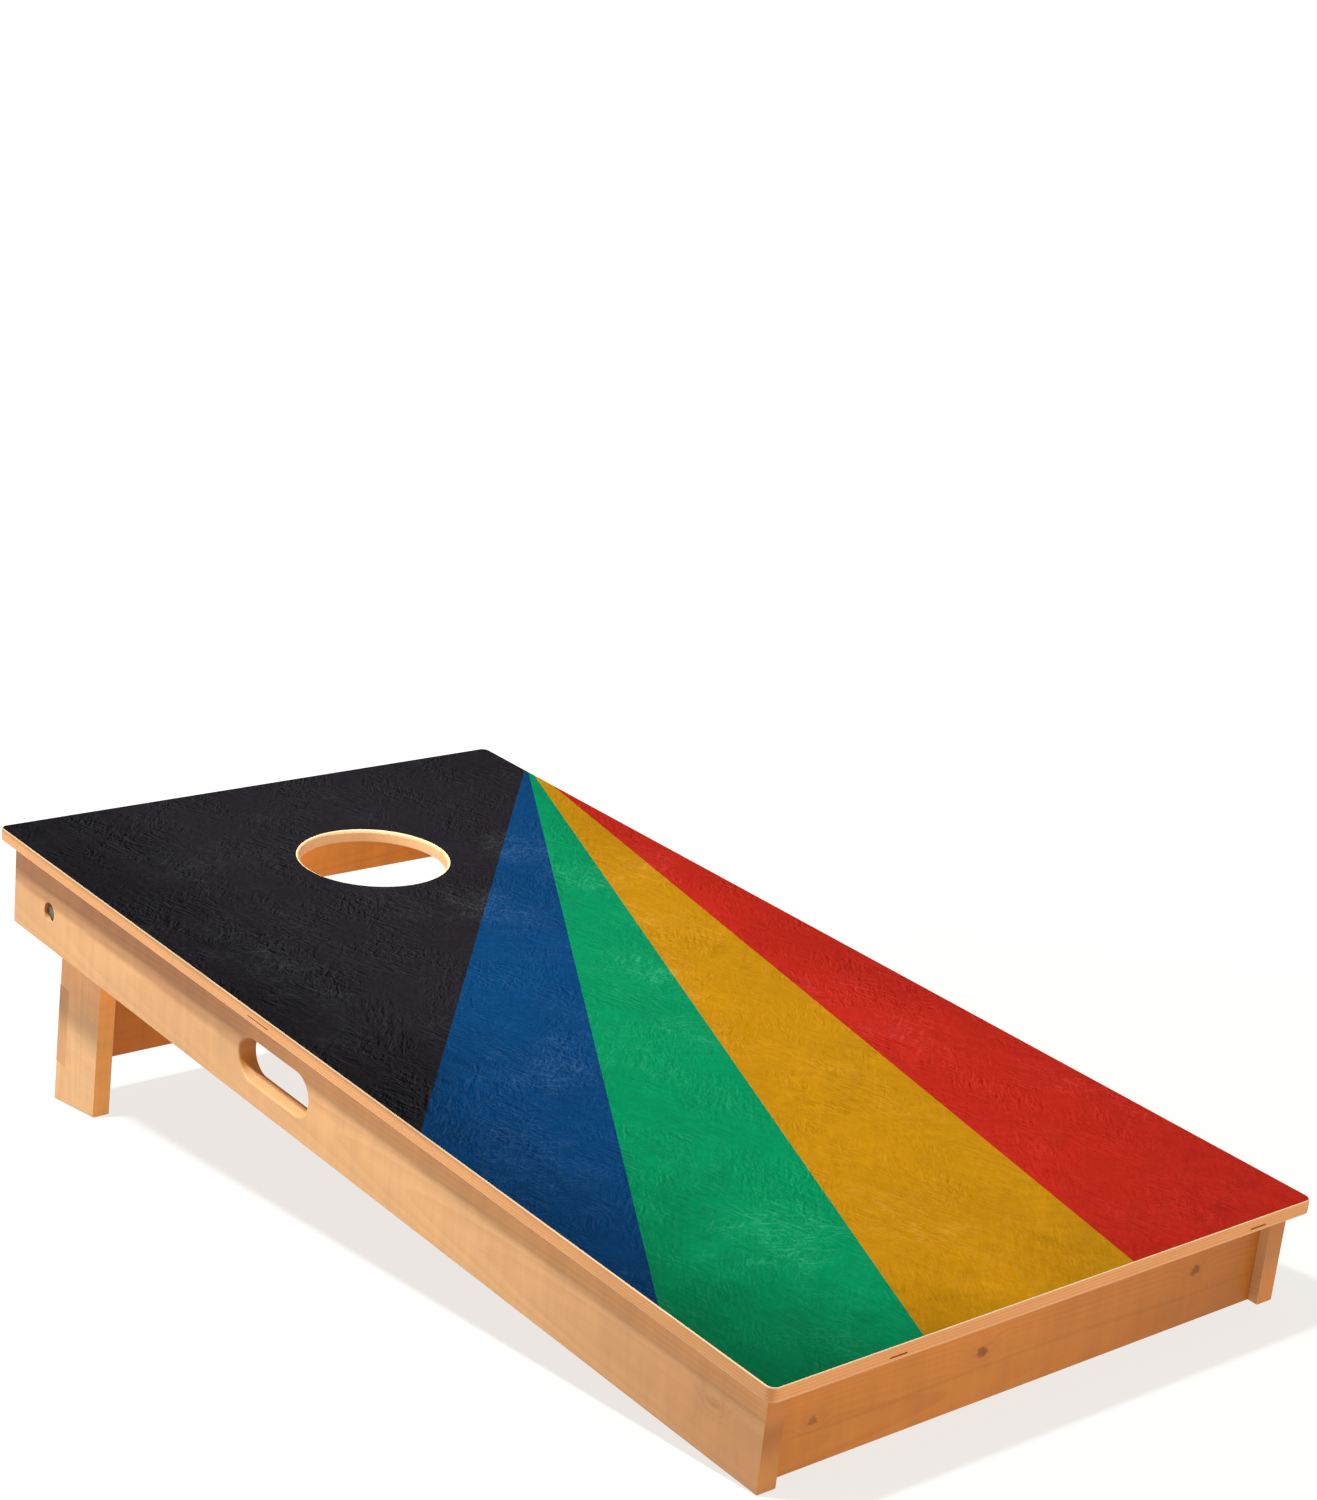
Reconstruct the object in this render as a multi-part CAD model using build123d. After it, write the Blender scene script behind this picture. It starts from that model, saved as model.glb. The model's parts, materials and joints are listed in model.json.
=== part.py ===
from build123d import *
import math
import os

# Cornhole board with folding legs, standing on the ground.
#
# World frame: millimetres, +X across the board, +Y from the low front end to the
# high back end, +Z up, with the ground at z = 0 and the origin under the middle of
# the board. The board is drawn level in its own frame, with x = 0 on its centre
# line, y = 0 at the deck's front edge and z = 0 at the bottom of the rails, and it
# is tipped onto its legs at the end.

# Deck: one plywood panel, rounded at its corners.
DECK_WIDTH = 609.6
DECK_LENGTH = 1219.2
DECK_THICKNESS = 12.7
DECK_CORNER_RADIUS = 8.0
DECK_EDGE_EASE = 0.8
BACK_HEIGHT = 304.8

# Bag hole, centred across the deck.
HOLE_DIAMETER = 152.4
HOLE_FROM_BACK = 231.0
HOLE_ROUNDOVER = 3.0

# Slits where a gap in a core ply shows in the panel's edge. Each place is the slit's
# middle, its length and its height above the panel's bottom.
CORE_VOID_HEIGHT = 1.5
CORE_VOID_DEPTH = 3.0
FRONT_CORE_VOIDS = ((-178.0, 18.0, 4.0), (234.8, 20.0, 4.4))
LEFT_CORE_VOIDS = ((711.0, 36.0, 5.1),)

# Printed vinyl wrap on the deck.
WRAP_THICKNESS = 0.25
WRAP_INSET = 1.2
WRAP_HOLE_GAP = 0.2

# Frame of dressed one-by-four boards.
LUMBER_THICKNESS = 19.05
LUMBER_WIDTH = 88.9
LUMBER_EASE = 1.0
SIDE_OVERHANG = 12.0
END_OVERHANG = 14.5
FRONT_RAIL_RECESS = 10.5
BACK_RAIL_RECESS = 13.0
MIDDLE_BRACE_FRONT = 600.0

# Hand slot through each side rail.
SLOT_LENGTH = 118.0
SLOT_HEIGHT = 41.5
SLOT_CENTRE = 700.0
SLOT_ABOVE_BOTTOM = 42.7
SLOT_OUTER_ROUNDOVER = 2.5
SLOT_INNER_EASE = 1.5

# Legs, hung on one bolt each and joined by a cross brace let into their back edges.
LEG_WIDTH = 83.0
LEG_LEAN = 2.2
LEG_EASE = 1.0
LEG_STOP_GAP = 0.3
LEG_SIDE_GAP = 0.1
PIVOT_HEIGHT = 38.6
LEG_BRACE_DROP = 107.0
PIVOT_BLOCK_LENGTH = 80.0

# Pivot hardware: an M8 hexagon bolt, three washers and a lock nut with a nylon ring.
BOLT_RADIUS = 4.0
BOLT_LENGTH = 65.0
BOLT_END_CHAMFER = 0.8
HEX_ACROSS_FLATS = 13.0
HEX_CHAMFER_ANGLE = 30.0
BOLT_HEAD_HEIGHT = 5.3
WASHER_RADIUS = 8.5
WASHER_THICKNESS = 1.6
LEG_WASHER_RADIUS = 12.0
LEG_WASHER_THICKNESS = 1.8
NUT_HEX_HEIGHT = 6.4
NUT_COLLAR_HEIGHT = 1.8
NUT_COLLAR_RADIUS = 5.9
NUT_RING_RADIUS = 5.2
NUT_RING_HEIGHT = 2.4
NUT_LIP = 0.4
COUNTERBORE_RADIUS = 10.3
COUNTERBORE_DEPTH = 9.0
RUNNING_CLEARANCE = 0.08
FIT_CLEARANCE = 0.1

# Pocket screws, hidden on the inside of the frame.
POCKET_ANGLE = 15.0
POCKET_RADIUS = 4.75
POCKET_SEAT = 15.0
POCKET_RUN = 45.0
POCKET_HEAD_RADIUS = 4.3
POCKET_HEAD_HEIGHT = 1.6
SQUARE_DRIVE = 2.7
SQUARE_DRIVE_DEPTH = 1.1
DECK_SCREW_LENGTH = 25.4
FRAME_SCREW_LENGTH = 31.8
SIDE_DECK_SCREWS = (110.0, 400.0, 830.0, 1050.0)
END_DECK_SCREWS = (-150.0, 150.0)
FRAME_SCREW_HEIGHTS = (22.0, 62.0)

# Countersunk wood screws in the pivot blocks and the leg brace.
SCREW_RADIUS = 2.1
SCREW_TIP = 4.0
CSK_HEAD_RADIUS = 4.1
CSK_HEAD_HEIGHT = 2.4
CROSS_DRIVE_LENGTH = 4.4
CROSS_DRIVE_WIDTH = 0.9
CROSS_DRIVE_DEPTH = 1.8
BLOCK_SCREW_LENGTH = 32.0
BLOCK_SCREW_MARGIN = 14.0
BRACE_SCREW_LENGTH = 45.0
BRACE_SCREW_SPREAD = 25.0

# Places that follow from the sizes above, in the board's own frame.
DECK_TOP = LUMBER_WIDTH + DECK_THICKNESS
RAIL_OUTER = DECK_WIDTH / 2 - SIDE_OVERHANG
RAIL_INNER = RAIL_OUTER - LUMBER_THICKNESS
SIDE_RAIL_LENGTH = DECK_LENGTH - 2 * END_OVERHANG
FRONT_RAIL_FACE = END_OVERHANG + FRONT_RAIL_RECESS
BACK_RAIL_INNER = DECK_LENGTH - END_OVERHANG - BACK_RAIL_RECESS - LUMBER_THICKNESS
HOLE_CENTRE = DECK_LENGTH - HOLE_FROM_BACK
LEG_HALF = LEG_WIDTH / 2

# Tilt that brings the deck's back top edge to its height while the side rails' front
# bottom corners touch the ground.
DECK_RUN = DECK_LENGTH - END_OVERHANG
TILT = math.degrees(
    math.asin(BACK_HEIGHT / math.hypot(DECK_RUN, DECK_TOP)) - math.atan2(DECK_TOP, DECK_RUN)
)

# The leg's back edge comes to rest on the bottom inner edge of the back rail.
LEAN = math.radians(LEG_LEAN)
PIVOT_Y = (
    BACK_RAIL_INNER - LEG_STOP_GAP - LEG_HALF / math.cos(LEAN) - PIVOT_HEIGHT * math.tan(LEAN)
)

# Pivot height above the ground and the leg's slope from upright set the foot's cut.
SLOPE = math.radians(TILT)
SPLAY = SLOPE + LEAN
PIVOT_ABOVE_GROUND = (PIVOT_Y - END_OVERHANG) * math.sin(SLOPE) + PIVOT_HEIGHT * math.cos(SLOPE)
FOOT_BACK = -(PIVOT_ABOVE_GROUND + LEG_HALF * math.sin(SPLAY)) / math.cos(SPLAY)
FOOT_FRONT = -(PIVOT_ABOVE_GROUND - LEG_HALF * math.sin(SPLAY)) / math.cos(SPLAY)

# The origin lies midway between the deck's front top edge and the back of the feet.
FRONT_REACH = END_OVERHANG * math.cos(SLOPE) + DECK_TOP * math.sin(SLOPE)
PIVOT_REACH = (PIVOT_Y - END_OVERHANG) * math.cos(SLOPE) - PIVOT_HEIGHT * math.sin(SLOPE)
FOOT_REACH = PIVOT_REACH + LEG_HALF * math.cos(SPLAY) - FOOT_BACK * math.sin(SPLAY)
CONTACT_Y = (FRONT_REACH - FOOT_REACH) / 2
STANDING = Pos(0, CONTACT_Y, 0) * Rot(X=TILT) * Pos(0, -END_OVERHANG, 0)
LEG_PLACE = Pos(0, PIVOT_Y, PIVOT_HEIGHT) * Rot(X=LEG_LEAN)

# Stack of the left pivot, from the rail's outer face inwards along +X.
COUNTERBORE_FLOOR = -RAIL_OUTER + COUNTERBORE_DEPTH
HEAD_SEAT = COUNTERBORE_FLOOR - WASHER_THICKNESS
BLOCK_INNER = -RAIL_INNER + LUMBER_THICKNESS
LEG_OUTER = BLOCK_INNER + LEG_WASHER_THICKNESS + LEG_SIDE_GAP
LEG_INNER = LEG_OUTER + LUMBER_THICKNESS
NUT_WASHER_SEAT = LEG_INNER + LEG_SIDE_GAP
NUT_SEAT = NUT_WASHER_SEAT + WASHER_THICKNESS
NUT_HEIGHT = NUT_HEX_HEIGHT + NUT_COLLAR_HEIGHT

CORNER = (Align.MIN, Align.MIN, Align.MIN)
ON_BASE = (Align.CENTER, Align.CENTER, Align.MIN)
LEVEL_RIGHT = Vector(1, 0, 0)
LEVEL_BACK = Vector(0, 1, 0)
LEVEL_UP = Vector(0, 0, 1)


def eased_board(corner, size, long_axis, ends_too=False):
    """A dressed board with its long edges eased, from its lowest corner and its size."""
    blank = Pos(*corner) * Box(*size, align=CORNER)
    edges = blank.edges() if ends_too else blank.edges().filter_by(long_axis)
    return fillet(edges, LUMBER_EASE)


def along_x(x, y=PIVOT_Y, z=PIVOT_HEIGHT):
    """Plane square to the X axis at a point, its normal towards +X."""
    return Plane(origin=(x, y, z), x_dir=LEVEL_BACK, z_dir=LEVEL_RIGHT)


def rod(start, end, radius, y=PIVOT_Y, z=PIVOT_HEIGHT):
    """Round bar along X between two x values, also used as the cutter for a bore."""
    return along_x(start, y, z) * Cylinder(radius, end - start, align=ON_BASE)


def washer(start, thickness, radius):
    """Flat washer on the left pivot's axis."""
    inner = BOLT_RADIUS + FIT_CLEARANCE
    return rod(start, start + thickness, radius) - rod(start, start + thickness, inner)


def hexagon(start, height):
    """Hexagonal prism along X with the corners of its outer end turned off in a cone."""
    flat = RegularPolygon(HEX_ACROSS_FLATS / 2, 6, major_radius=False)
    prism = along_x(start) * extrude(flat, amount=height)
    corner_radius = HEX_ACROSS_FLATS / math.sqrt(3)
    overhang = corner_radius - HEX_ACROSS_FLATS / 2
    drop = overhang * math.tan(math.radians(HEX_CHAMFER_ANGLE))
    cone = Cone(corner_radius - overhang, corner_radius, drop, align=ON_BASE)
    body = Pos(0, 0, drop) * Cylinder(corner_radius, height - drop, align=ON_BASE)
    return prism & (along_x(start) * (cone + body))


def turned(points):
    """Solid of revolution about Z from (radius, height) points that start and end on the axis."""
    outline = make_face(Polyline(*points, close=True))
    return revolve(Plane.XZ * outline, axis=Axis.Z)


def pocket_screw(length):
    """Flat-headed pocket screw along +Z, its head seated below the joint at the origin."""
    seat = -POCKET_SEAT
    top = seat - POCKET_HEAD_HEIGHT
    end = seat + length
    shape = turned([
        (0, top),
        (POCKET_HEAD_RADIUS, top),
        (POCKET_HEAD_RADIUS, seat),
        (SCREW_RADIUS, seat),
        (SCREW_RADIUS, end - SCREW_TIP),
        (0, end),
    ])
    drive = Pos(0, 0, top) * Box(SQUARE_DRIVE, SQUARE_DRIVE, SQUARE_DRIVE_DEPTH, align=ON_BASE)
    return shape - drive


def pocket_void(length):
    """Stepped pocket hole that the pocket screw sits in, open towards the board's face."""
    seat = -POCKET_SEAT
    shank = SCREW_RADIUS + FIT_CLEARANCE
    return turned([
        (0, seat - POCKET_RUN),
        (POCKET_RADIUS, seat - POCKET_RUN),
        (POCKET_RADIUS, seat),
        (shank, seat),
        (shank, seat + length - SCREW_TIP),
        (0, seat + length + FIT_CLEARANCE),
    ])


def wood_screw(length, clearance=0.0):
    """Countersunk screw along +Z from its flush head at the origin, or its hole if grown."""
    grown = clearance * math.sqrt(2)
    shape = turned([
        (0, 0),
        (CSK_HEAD_RADIUS + grown, 0),
        (SCREW_RADIUS + clearance, CSK_HEAD_HEIGHT),
        (SCREW_RADIUS + clearance, length - SCREW_TIP),
        (0, length + clearance),
    ])
    if clearance:
        return shape
    slot = Box(CROSS_DRIVE_LENGTH, CROSS_DRIVE_WIDTH, CROSS_DRIVE_DEPTH, align=ON_BASE)
    return shape - slot - Rot(Z=90) * slot


def pocket_place(point, into, inner):
    """Place of a pocket screw at a joint: it points into the mate from the inner face."""
    return Plane(origin=point, x_dir=inner, z_dir=into).location * Rot(Y=-POCKET_ANGLE)


def deck_screw_places():
    """Pocket screws from the frame up into the deck."""
    places = []
    rail_middle = RAIL_OUTER - LUMBER_THICKNESS / 2
    for y in SIDE_DECK_SCREWS:
        for side in (-1, 1):
            point = (side * rail_middle, y, LUMBER_WIDTH)
            places.append(pocket_place(point, LEVEL_UP, LEVEL_RIGHT * -side))
    cross_boards = (
        (FRONT_RAIL_FACE, LEVEL_BACK),
        (MIDDLE_BRACE_FRONT, LEVEL_BACK),
        (BACK_RAIL_INNER, -LEVEL_BACK),
    )
    for front, inner in cross_boards:
        for x in END_DECK_SCREWS:
            point = (x, front + LUMBER_THICKNESS / 2, LUMBER_WIDTH)
            places.append(pocket_place(point, LEVEL_UP, inner))
    return places


def end_screw_places(front, inner):
    """Pocket screws from both ends of a cross board into the side rails."""
    places = []
    for side in (-1, 1):
        for z in FRAME_SCREW_HEIGHTS:
            point = (side * RAIL_INNER, front + LUMBER_THICKNESS / 2, z)
            places.append(pocket_place(point, LEVEL_RIGHT * side, inner))
    return places


def block_screw_places():
    """Screws through each pivot block into its side rail."""
    places = []
    front = BACK_RAIL_INNER - PIVOT_BLOCK_LENGTH
    for side in (-1, 1):
        for y in (front + BLOCK_SCREW_MARGIN, BACK_RAIL_INNER - BLOCK_SCREW_MARGIN):
            for z in (BLOCK_SCREW_MARGIN, LUMBER_WIDTH - BLOCK_SCREW_MARGIN):
                point = (-side * BLOCK_INNER, y, z)
                outward = LEVEL_RIGHT * side
                places.append(Plane(origin=point, x_dir=LEVEL_BACK, z_dir=outward).location)
    return places


def brace_screw_places():
    """Screws through the leg brace into each leg, in the leg's own frame."""
    places = []
    middle = -LEG_BRACE_DROP - LUMBER_WIDTH / 2
    for side in (-1, 1):
        for z in (middle - BRACE_SCREW_SPREAD, middle + BRACE_SCREW_SPREAD):
            point = (-side * (LEG_OUTER + LUMBER_THICKNESS / 2), LEG_HALF, z)
            places.append(Plane(origin=point, x_dir=LEVEL_RIGHT, z_dir=-LEVEL_BACK).location)
    return places


def cut(body, places, void):
    """The body without the void at each of the places."""
    for place in places:
        body = body - place * void
    return body


def group(places, screw):
    """Several identical screws as one group of separate solids."""
    return Compound([place * screw for place in places])


def core_void(point, into, length):
    """Slit that opens on the panel's edge at a point and runs into the panel."""
    slit = extrude(SlotOverall(length, CORE_VOID_HEIGHT), amount=CORE_VOID_DEPTH)
    return Plane(origin=point, x_dir=into.cross(LEVEL_UP), z_dir=into).location * slit


def make_deck():
    """Plywood panel with eased edges, a rounded-over bag hole and a few core voids."""
    outline = RectangleRounded(DECK_WIDTH, DECK_LENGTH, DECK_CORNER_RADIUS)
    panel = Pos(0, DECK_LENGTH / 2, LUMBER_WIDTH) * extrude(outline, amount=DECK_THICKNESS)
    rims = panel.faces().sort_by(Axis.Z)
    panel = fillet(rims[0].edges() + rims[-1].edges(), DECK_EDGE_EASE)
    hole = Cylinder(HOLE_DIAMETER / 2, DECK_THICKNESS, align=ON_BASE)
    panel = panel - Pos(0, HOLE_CENTRE, LUMBER_WIDTH) * hole
    faces = panel.faces().sort_by(Axis.Z)
    panel = fillet(faces[-1].inner_wires()[0].edges(), HOLE_ROUNDOVER)
    bottom = panel.faces().sort_by(Axis.Z)[0]
    panel = fillet(bottom.inner_wires()[0].edges(), DECK_EDGE_EASE)
    for middle, length, height in FRONT_CORE_VOIDS:
        panel = panel - core_void((middle, 0, LUMBER_WIDTH + height), LEVEL_BACK, length)
    for middle, length, height in LEFT_CORE_VOIDS:
        edge = (-DECK_WIDTH / 2, middle, LUMBER_WIDTH + height)
        panel = panel - core_void(edge, LEVEL_RIGHT, length)
    return panel


def make_wrap():
    """Thin printed film that stops just short of the deck's edges and of the hole."""
    outline = RectangleRounded(
        DECK_WIDTH - 2 * WRAP_INSET,
        DECK_LENGTH - 2 * WRAP_INSET,
        DECK_CORNER_RADIUS - WRAP_INSET,
    )
    film = Pos(0, DECK_LENGTH / 2, DECK_TOP) * extrude(outline, amount=WRAP_THICKNESS)
    radius = HOLE_DIAMETER / 2 + HOLE_ROUNDOVER + WRAP_HOLE_GAP
    return film - Pos(0, HOLE_CENTRE, DECK_TOP) * Cylinder(radius, WRAP_THICKNESS, align=ON_BASE)


def make_side_rail():
    """Left side rail with its hand slot and the counterbored hole for the pivot bolt."""
    size = (LUMBER_THICKNESS, SIDE_RAIL_LENGTH, LUMBER_WIDTH)
    rail = eased_board((-RAIL_OUTER, END_OVERHANG, 0), size, Axis.Y, ends_too=True)
    slot = extrude(SlotOverall(SLOT_LENGTH, SLOT_HEIGHT), amount=LUMBER_THICKNESS)
    rail = rail - along_x(-RAIL_OUTER, SLOT_CENTRE, SLOT_ABOVE_BOTTOM) * slot
    outer = rail.faces().sort_by(Axis.X)[0]
    rail = fillet(outer.inner_wires()[0].edges(), SLOT_OUTER_ROUNDOVER)
    inner = rail.faces().sort_by(Axis.X)[-1]
    rail = fillet(inner.inner_wires()[0].edges(), SLOT_INNER_EASE)
    rail = rail - rod(-RAIL_OUTER, COUNTERBORE_FLOOR, COUNTERBORE_RADIUS)
    return rail - rod(COUNTERBORE_FLOOR, -RAIL_INNER, BOLT_RADIUS + FIT_CLEARANCE)


def make_cross_board(front):
    """Board that runs across the frame between the side rails."""
    size = (2 * RAIL_INNER, LUMBER_THICKNESS, LUMBER_WIDTH)
    return eased_board((-RAIL_INNER, front, 0), size, Axis.X)


def make_pivot_block():
    """Left block that carries the pivot bolt beside the rail."""
    front = BACK_RAIL_INNER - PIVOT_BLOCK_LENGTH
    size = (LUMBER_THICKNESS, PIVOT_BLOCK_LENGTH, LUMBER_WIDTH)
    block = eased_board((-RAIL_INNER, front, 0), size, Axis.Z)
    return block - rod(-RAIL_INNER, BLOCK_INNER, BOLT_RADIUS + FIT_CLEARANCE)


def make_leg():
    """Left leg in its own frame, with the pivot at y = z = 0 and its foot cut level."""
    sides = Polyline(
        (LEG_HALF, 0),
        (LEG_HALF, FOOT_BACK),
        (-LEG_HALF, FOOT_FRONT),
        (-LEG_HALF, 0),
    )
    top = ThreePointArc((-LEG_HALF, 0), (0, LEG_HALF), (LEG_HALF, 0))
    outline = make_face(sides + top)
    leg = along_x(LEG_OUTER, 0, 0) * extrude(outline, amount=LUMBER_THICKNESS)
    faces = leg.faces().sort_by(Axis.X)
    leg = fillet(faces[0].edges() + faces[-1].edges(), LEG_EASE)
    notch = Pos(LEG_OUTER, LEG_HALF - LUMBER_THICKNESS, -LEG_BRACE_DROP - LUMBER_WIDTH) * Box(
        LUMBER_THICKNESS, LUMBER_THICKNESS, LUMBER_WIDTH, align=CORNER
    )
    return leg - notch - rod(LEG_OUTER, LEG_INNER, BOLT_RADIUS + RUNNING_CLEARANCE, 0, 0)


def make_leg_brace():
    """Cross brace let into the back edges of both legs, in the legs' own frame."""
    corner = (LEG_OUTER, LEG_HALF - LUMBER_THICKNESS, -LEG_BRACE_DROP - LUMBER_WIDTH)
    size = (-2 * LEG_OUTER, LUMBER_THICKNESS, LUMBER_WIDTH)
    return eased_board(corner, size, Axis.X)


def make_bolt():
    """Left pivot bolt, its hexagon head in the rail's counterbore."""
    shank = rod(HEAD_SEAT, HEAD_SEAT + BOLT_LENGTH, BOLT_RADIUS)
    shank = chamfer(shank.faces().sort_by(Axis.X)[-1].edges(), BOLT_END_CHAMFER)
    return hexagon(HEAD_SEAT - BOLT_HEAD_HEIGHT, BOLT_HEAD_HEIGHT) + shank


def make_nut():
    """Left lock nut: a hexagon with a round collar that holds the nylon ring."""
    collar = rod(NUT_SEAT + NUT_HEX_HEIGHT, NUT_SEAT + NUT_HEIGHT, NUT_COLLAR_RADIUS)
    ring_seat = NUT_SEAT + NUT_HEIGHT - NUT_LIP - NUT_RING_HEIGHT
    ring_room = rod(ring_seat, ring_seat + NUT_RING_HEIGHT, NUT_RING_RADIUS)
    hole = rod(NUT_SEAT, NUT_SEAT + NUT_HEIGHT, BOLT_RADIUS + FIT_CLEARANCE / 2)
    return hexagon(NUT_SEAT, NUT_HEX_HEIGHT) + collar - ring_room - hole


def make_nut_ring():
    """Left nylon ring inside the lock nut's collar."""
    start = NUT_SEAT + NUT_HEIGHT - NUT_LIP - NUT_RING_HEIGHT
    outer = rod(start, start + NUT_RING_HEIGHT, NUT_RING_RADIUS - FIT_CLEARANCE / 2)
    return outer - rod(start, start + NUT_RING_HEIGHT, BOLT_RADIUS + FIT_CLEARANCE / 2)


def make_nodes():
    """Every piece of the standing board by name."""
    deck_places = deck_screw_places()
    front_places = end_screw_places(FRONT_RAIL_FACE, LEVEL_BACK)
    middle_places = end_screw_places(MIDDLE_BRACE_FRONT, LEVEL_BACK)
    back_places = end_screw_places(BACK_RAIL_INNER, -LEVEL_BACK)
    block_places = block_screw_places()
    brace_places = brace_screw_places()

    deck_void = pocket_void(DECK_SCREW_LENGTH)
    frame_void = pocket_void(FRAME_SCREW_LENGTH)
    block_void = wood_screw(BLOCK_SCREW_LENGTH, FIT_CLEARANCE)
    brace_void = wood_screw(BRACE_SCREW_LENGTH, FIT_CLEARANCE)

    rail = cut(make_side_rail(), deck_places, deck_void)
    rail = cut(rail, front_places + middle_places + back_places, frame_void)
    handed = {
        "side_rail": cut(rail, block_places, block_void),
        "pivot_block": cut(make_pivot_block(), block_places, block_void),
        "leg": LEG_PLACE * cut(make_leg(), brace_places, brace_void),
        "pivot_bolt": make_bolt(),
        "head_washer": washer(HEAD_SEAT, WASHER_THICKNESS, WASHER_RADIUS),
        "leg_washer": washer(BLOCK_INNER, LEG_WASHER_THICKNESS, LEG_WASHER_RADIUS),
        "nut_washer": washer(NUT_WASHER_SEAT, WASHER_THICKNESS, WASHER_RADIUS),
        "pivot_nut": make_nut(),
        "nut_ring": make_nut_ring(),
    }

    nodes = {
        "deck_panel": cut(make_deck(), deck_places, deck_void),
        "deck_wrap": make_wrap(),
        "leg_brace": LEG_PLACE * cut(make_leg_brace(), brace_places, brace_void),
        "deck_screws": group(deck_places, pocket_screw(DECK_SCREW_LENGTH)),
        "pivot_block_screws": group(block_places, wood_screw(BLOCK_SCREW_LENGTH)),
        "leg_brace_screws": LEG_PLACE * group(brace_places, wood_screw(BRACE_SCREW_LENGTH)),
    }
    cross_boards = {
        "front_rail": (FRONT_RAIL_FACE, front_places),
        "middle_brace": (MIDDLE_BRACE_FRONT, middle_places),
        "back_rail": (BACK_RAIL_INNER, back_places),
    }
    for name, (front, places) in cross_boards.items():
        board = cut(make_cross_board(front), places, frame_void)
        nodes[name] = cut(board, deck_places, deck_void)
        nodes[name + "_screws"] = group(places, pocket_screw(FRAME_SCREW_LENGTH))
    for name, piece in handed.items():
        nodes["left_" + name] = piece
        nodes["right_" + name] = mirror(piece, about=Plane.YZ)
    return {name: STANDING * piece for name, piece in nodes.items()}


os.makedirs("parts", exist_ok=True)
for node, shape in make_nodes().items():
    export_step(shape, f"parts/{node}.step")
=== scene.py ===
"""The cornhole board's finished look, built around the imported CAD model.

World frame, in metres: +X across the board, +Y towards its raised back end, +Z up.
Board frame: the tilted deck's own directions, with x = 0 on the centre line, y = 0 at
the deck's front edge and z = 0 on its printed face.
"""

import json
import math

import bmesh
import bpy
from mathutils import Matrix, Vector


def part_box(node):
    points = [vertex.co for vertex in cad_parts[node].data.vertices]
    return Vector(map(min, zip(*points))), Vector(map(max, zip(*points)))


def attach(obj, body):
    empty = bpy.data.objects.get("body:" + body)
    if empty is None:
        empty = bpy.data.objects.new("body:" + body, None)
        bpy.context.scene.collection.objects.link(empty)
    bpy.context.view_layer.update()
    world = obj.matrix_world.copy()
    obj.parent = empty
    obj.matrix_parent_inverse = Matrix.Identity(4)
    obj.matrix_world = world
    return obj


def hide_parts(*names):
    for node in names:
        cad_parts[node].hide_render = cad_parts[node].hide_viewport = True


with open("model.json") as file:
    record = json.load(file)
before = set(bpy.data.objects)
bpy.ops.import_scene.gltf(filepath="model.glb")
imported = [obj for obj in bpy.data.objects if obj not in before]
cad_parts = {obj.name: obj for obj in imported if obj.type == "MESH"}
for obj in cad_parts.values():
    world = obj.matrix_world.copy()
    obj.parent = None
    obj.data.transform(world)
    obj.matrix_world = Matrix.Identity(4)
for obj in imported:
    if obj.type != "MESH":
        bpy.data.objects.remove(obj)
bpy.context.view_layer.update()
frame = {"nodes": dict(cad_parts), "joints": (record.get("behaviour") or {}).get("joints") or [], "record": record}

MM = 0.001
NODES = frame["nodes"]
MOUNTS = {mount["name"]: mount for mount in frame["record"]["mounts"]}

# Sizes. The deck's mount lies on the printed face, this far back from its front edge.
DECK_WIDTH = 609.6 * MM
DECK_LENGTH = 1219.2 * MM
DECK_THICKNESS = 12.7 * MM
WRAP_THICKNESS = 0.25 * MM
DECK_MOUNT_BACK = 520 * MM
RAIL_HEIGHT = 88.9 * MM

# Directions of the board and of the legs, which lean back from the board's normal.
RIGHT = Vector((1, 0, 0))
BOARD_UP = Vector(MOUNTS["deck_top"]["axis"]).normalized()
BOARD_BACK = BOARD_UP.cross(RIGHT)
DECK_FRONT = Vector(MOUNTS["deck_top"]["pos_m"]) - DECK_MOUNT_BACK * BOARD_BACK
LEG_LEAN = Matrix.Rotation(math.radians(2.2), 3, "X")
LEG_UP = LEG_LEAN @ BOARD_UP
LEG_BACK = LEG_LEAN @ BOARD_BACK
PIVOT = Vector(frame["joints"][0]["pos_m"])


# ---------------------------------------------------------------- shader helpers


def srgb(red, green, blue):
    """Linear colour from display values of 0 to 255."""
    linear = []
    for value in (red, green, blue):
        share = value / 255
        linear.append(share / 12.92 if share <= 0.04045 else ((share + 0.055) / 1.055) ** 2.4)
    return (*linear, 1.0)


def tinted(colour, tint):
    """A constant colour with each of its channels scaled."""
    return tuple(channel * share for channel, share in zip(colour, tint))


# Places of a Mix node's sockets: its two numbers, its two colours and its colour output.
MIX_NUMBERS = (2, 3)
MIX_COLOURS = (6, 7)
MIX_COLOUR_OUT = 2


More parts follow.
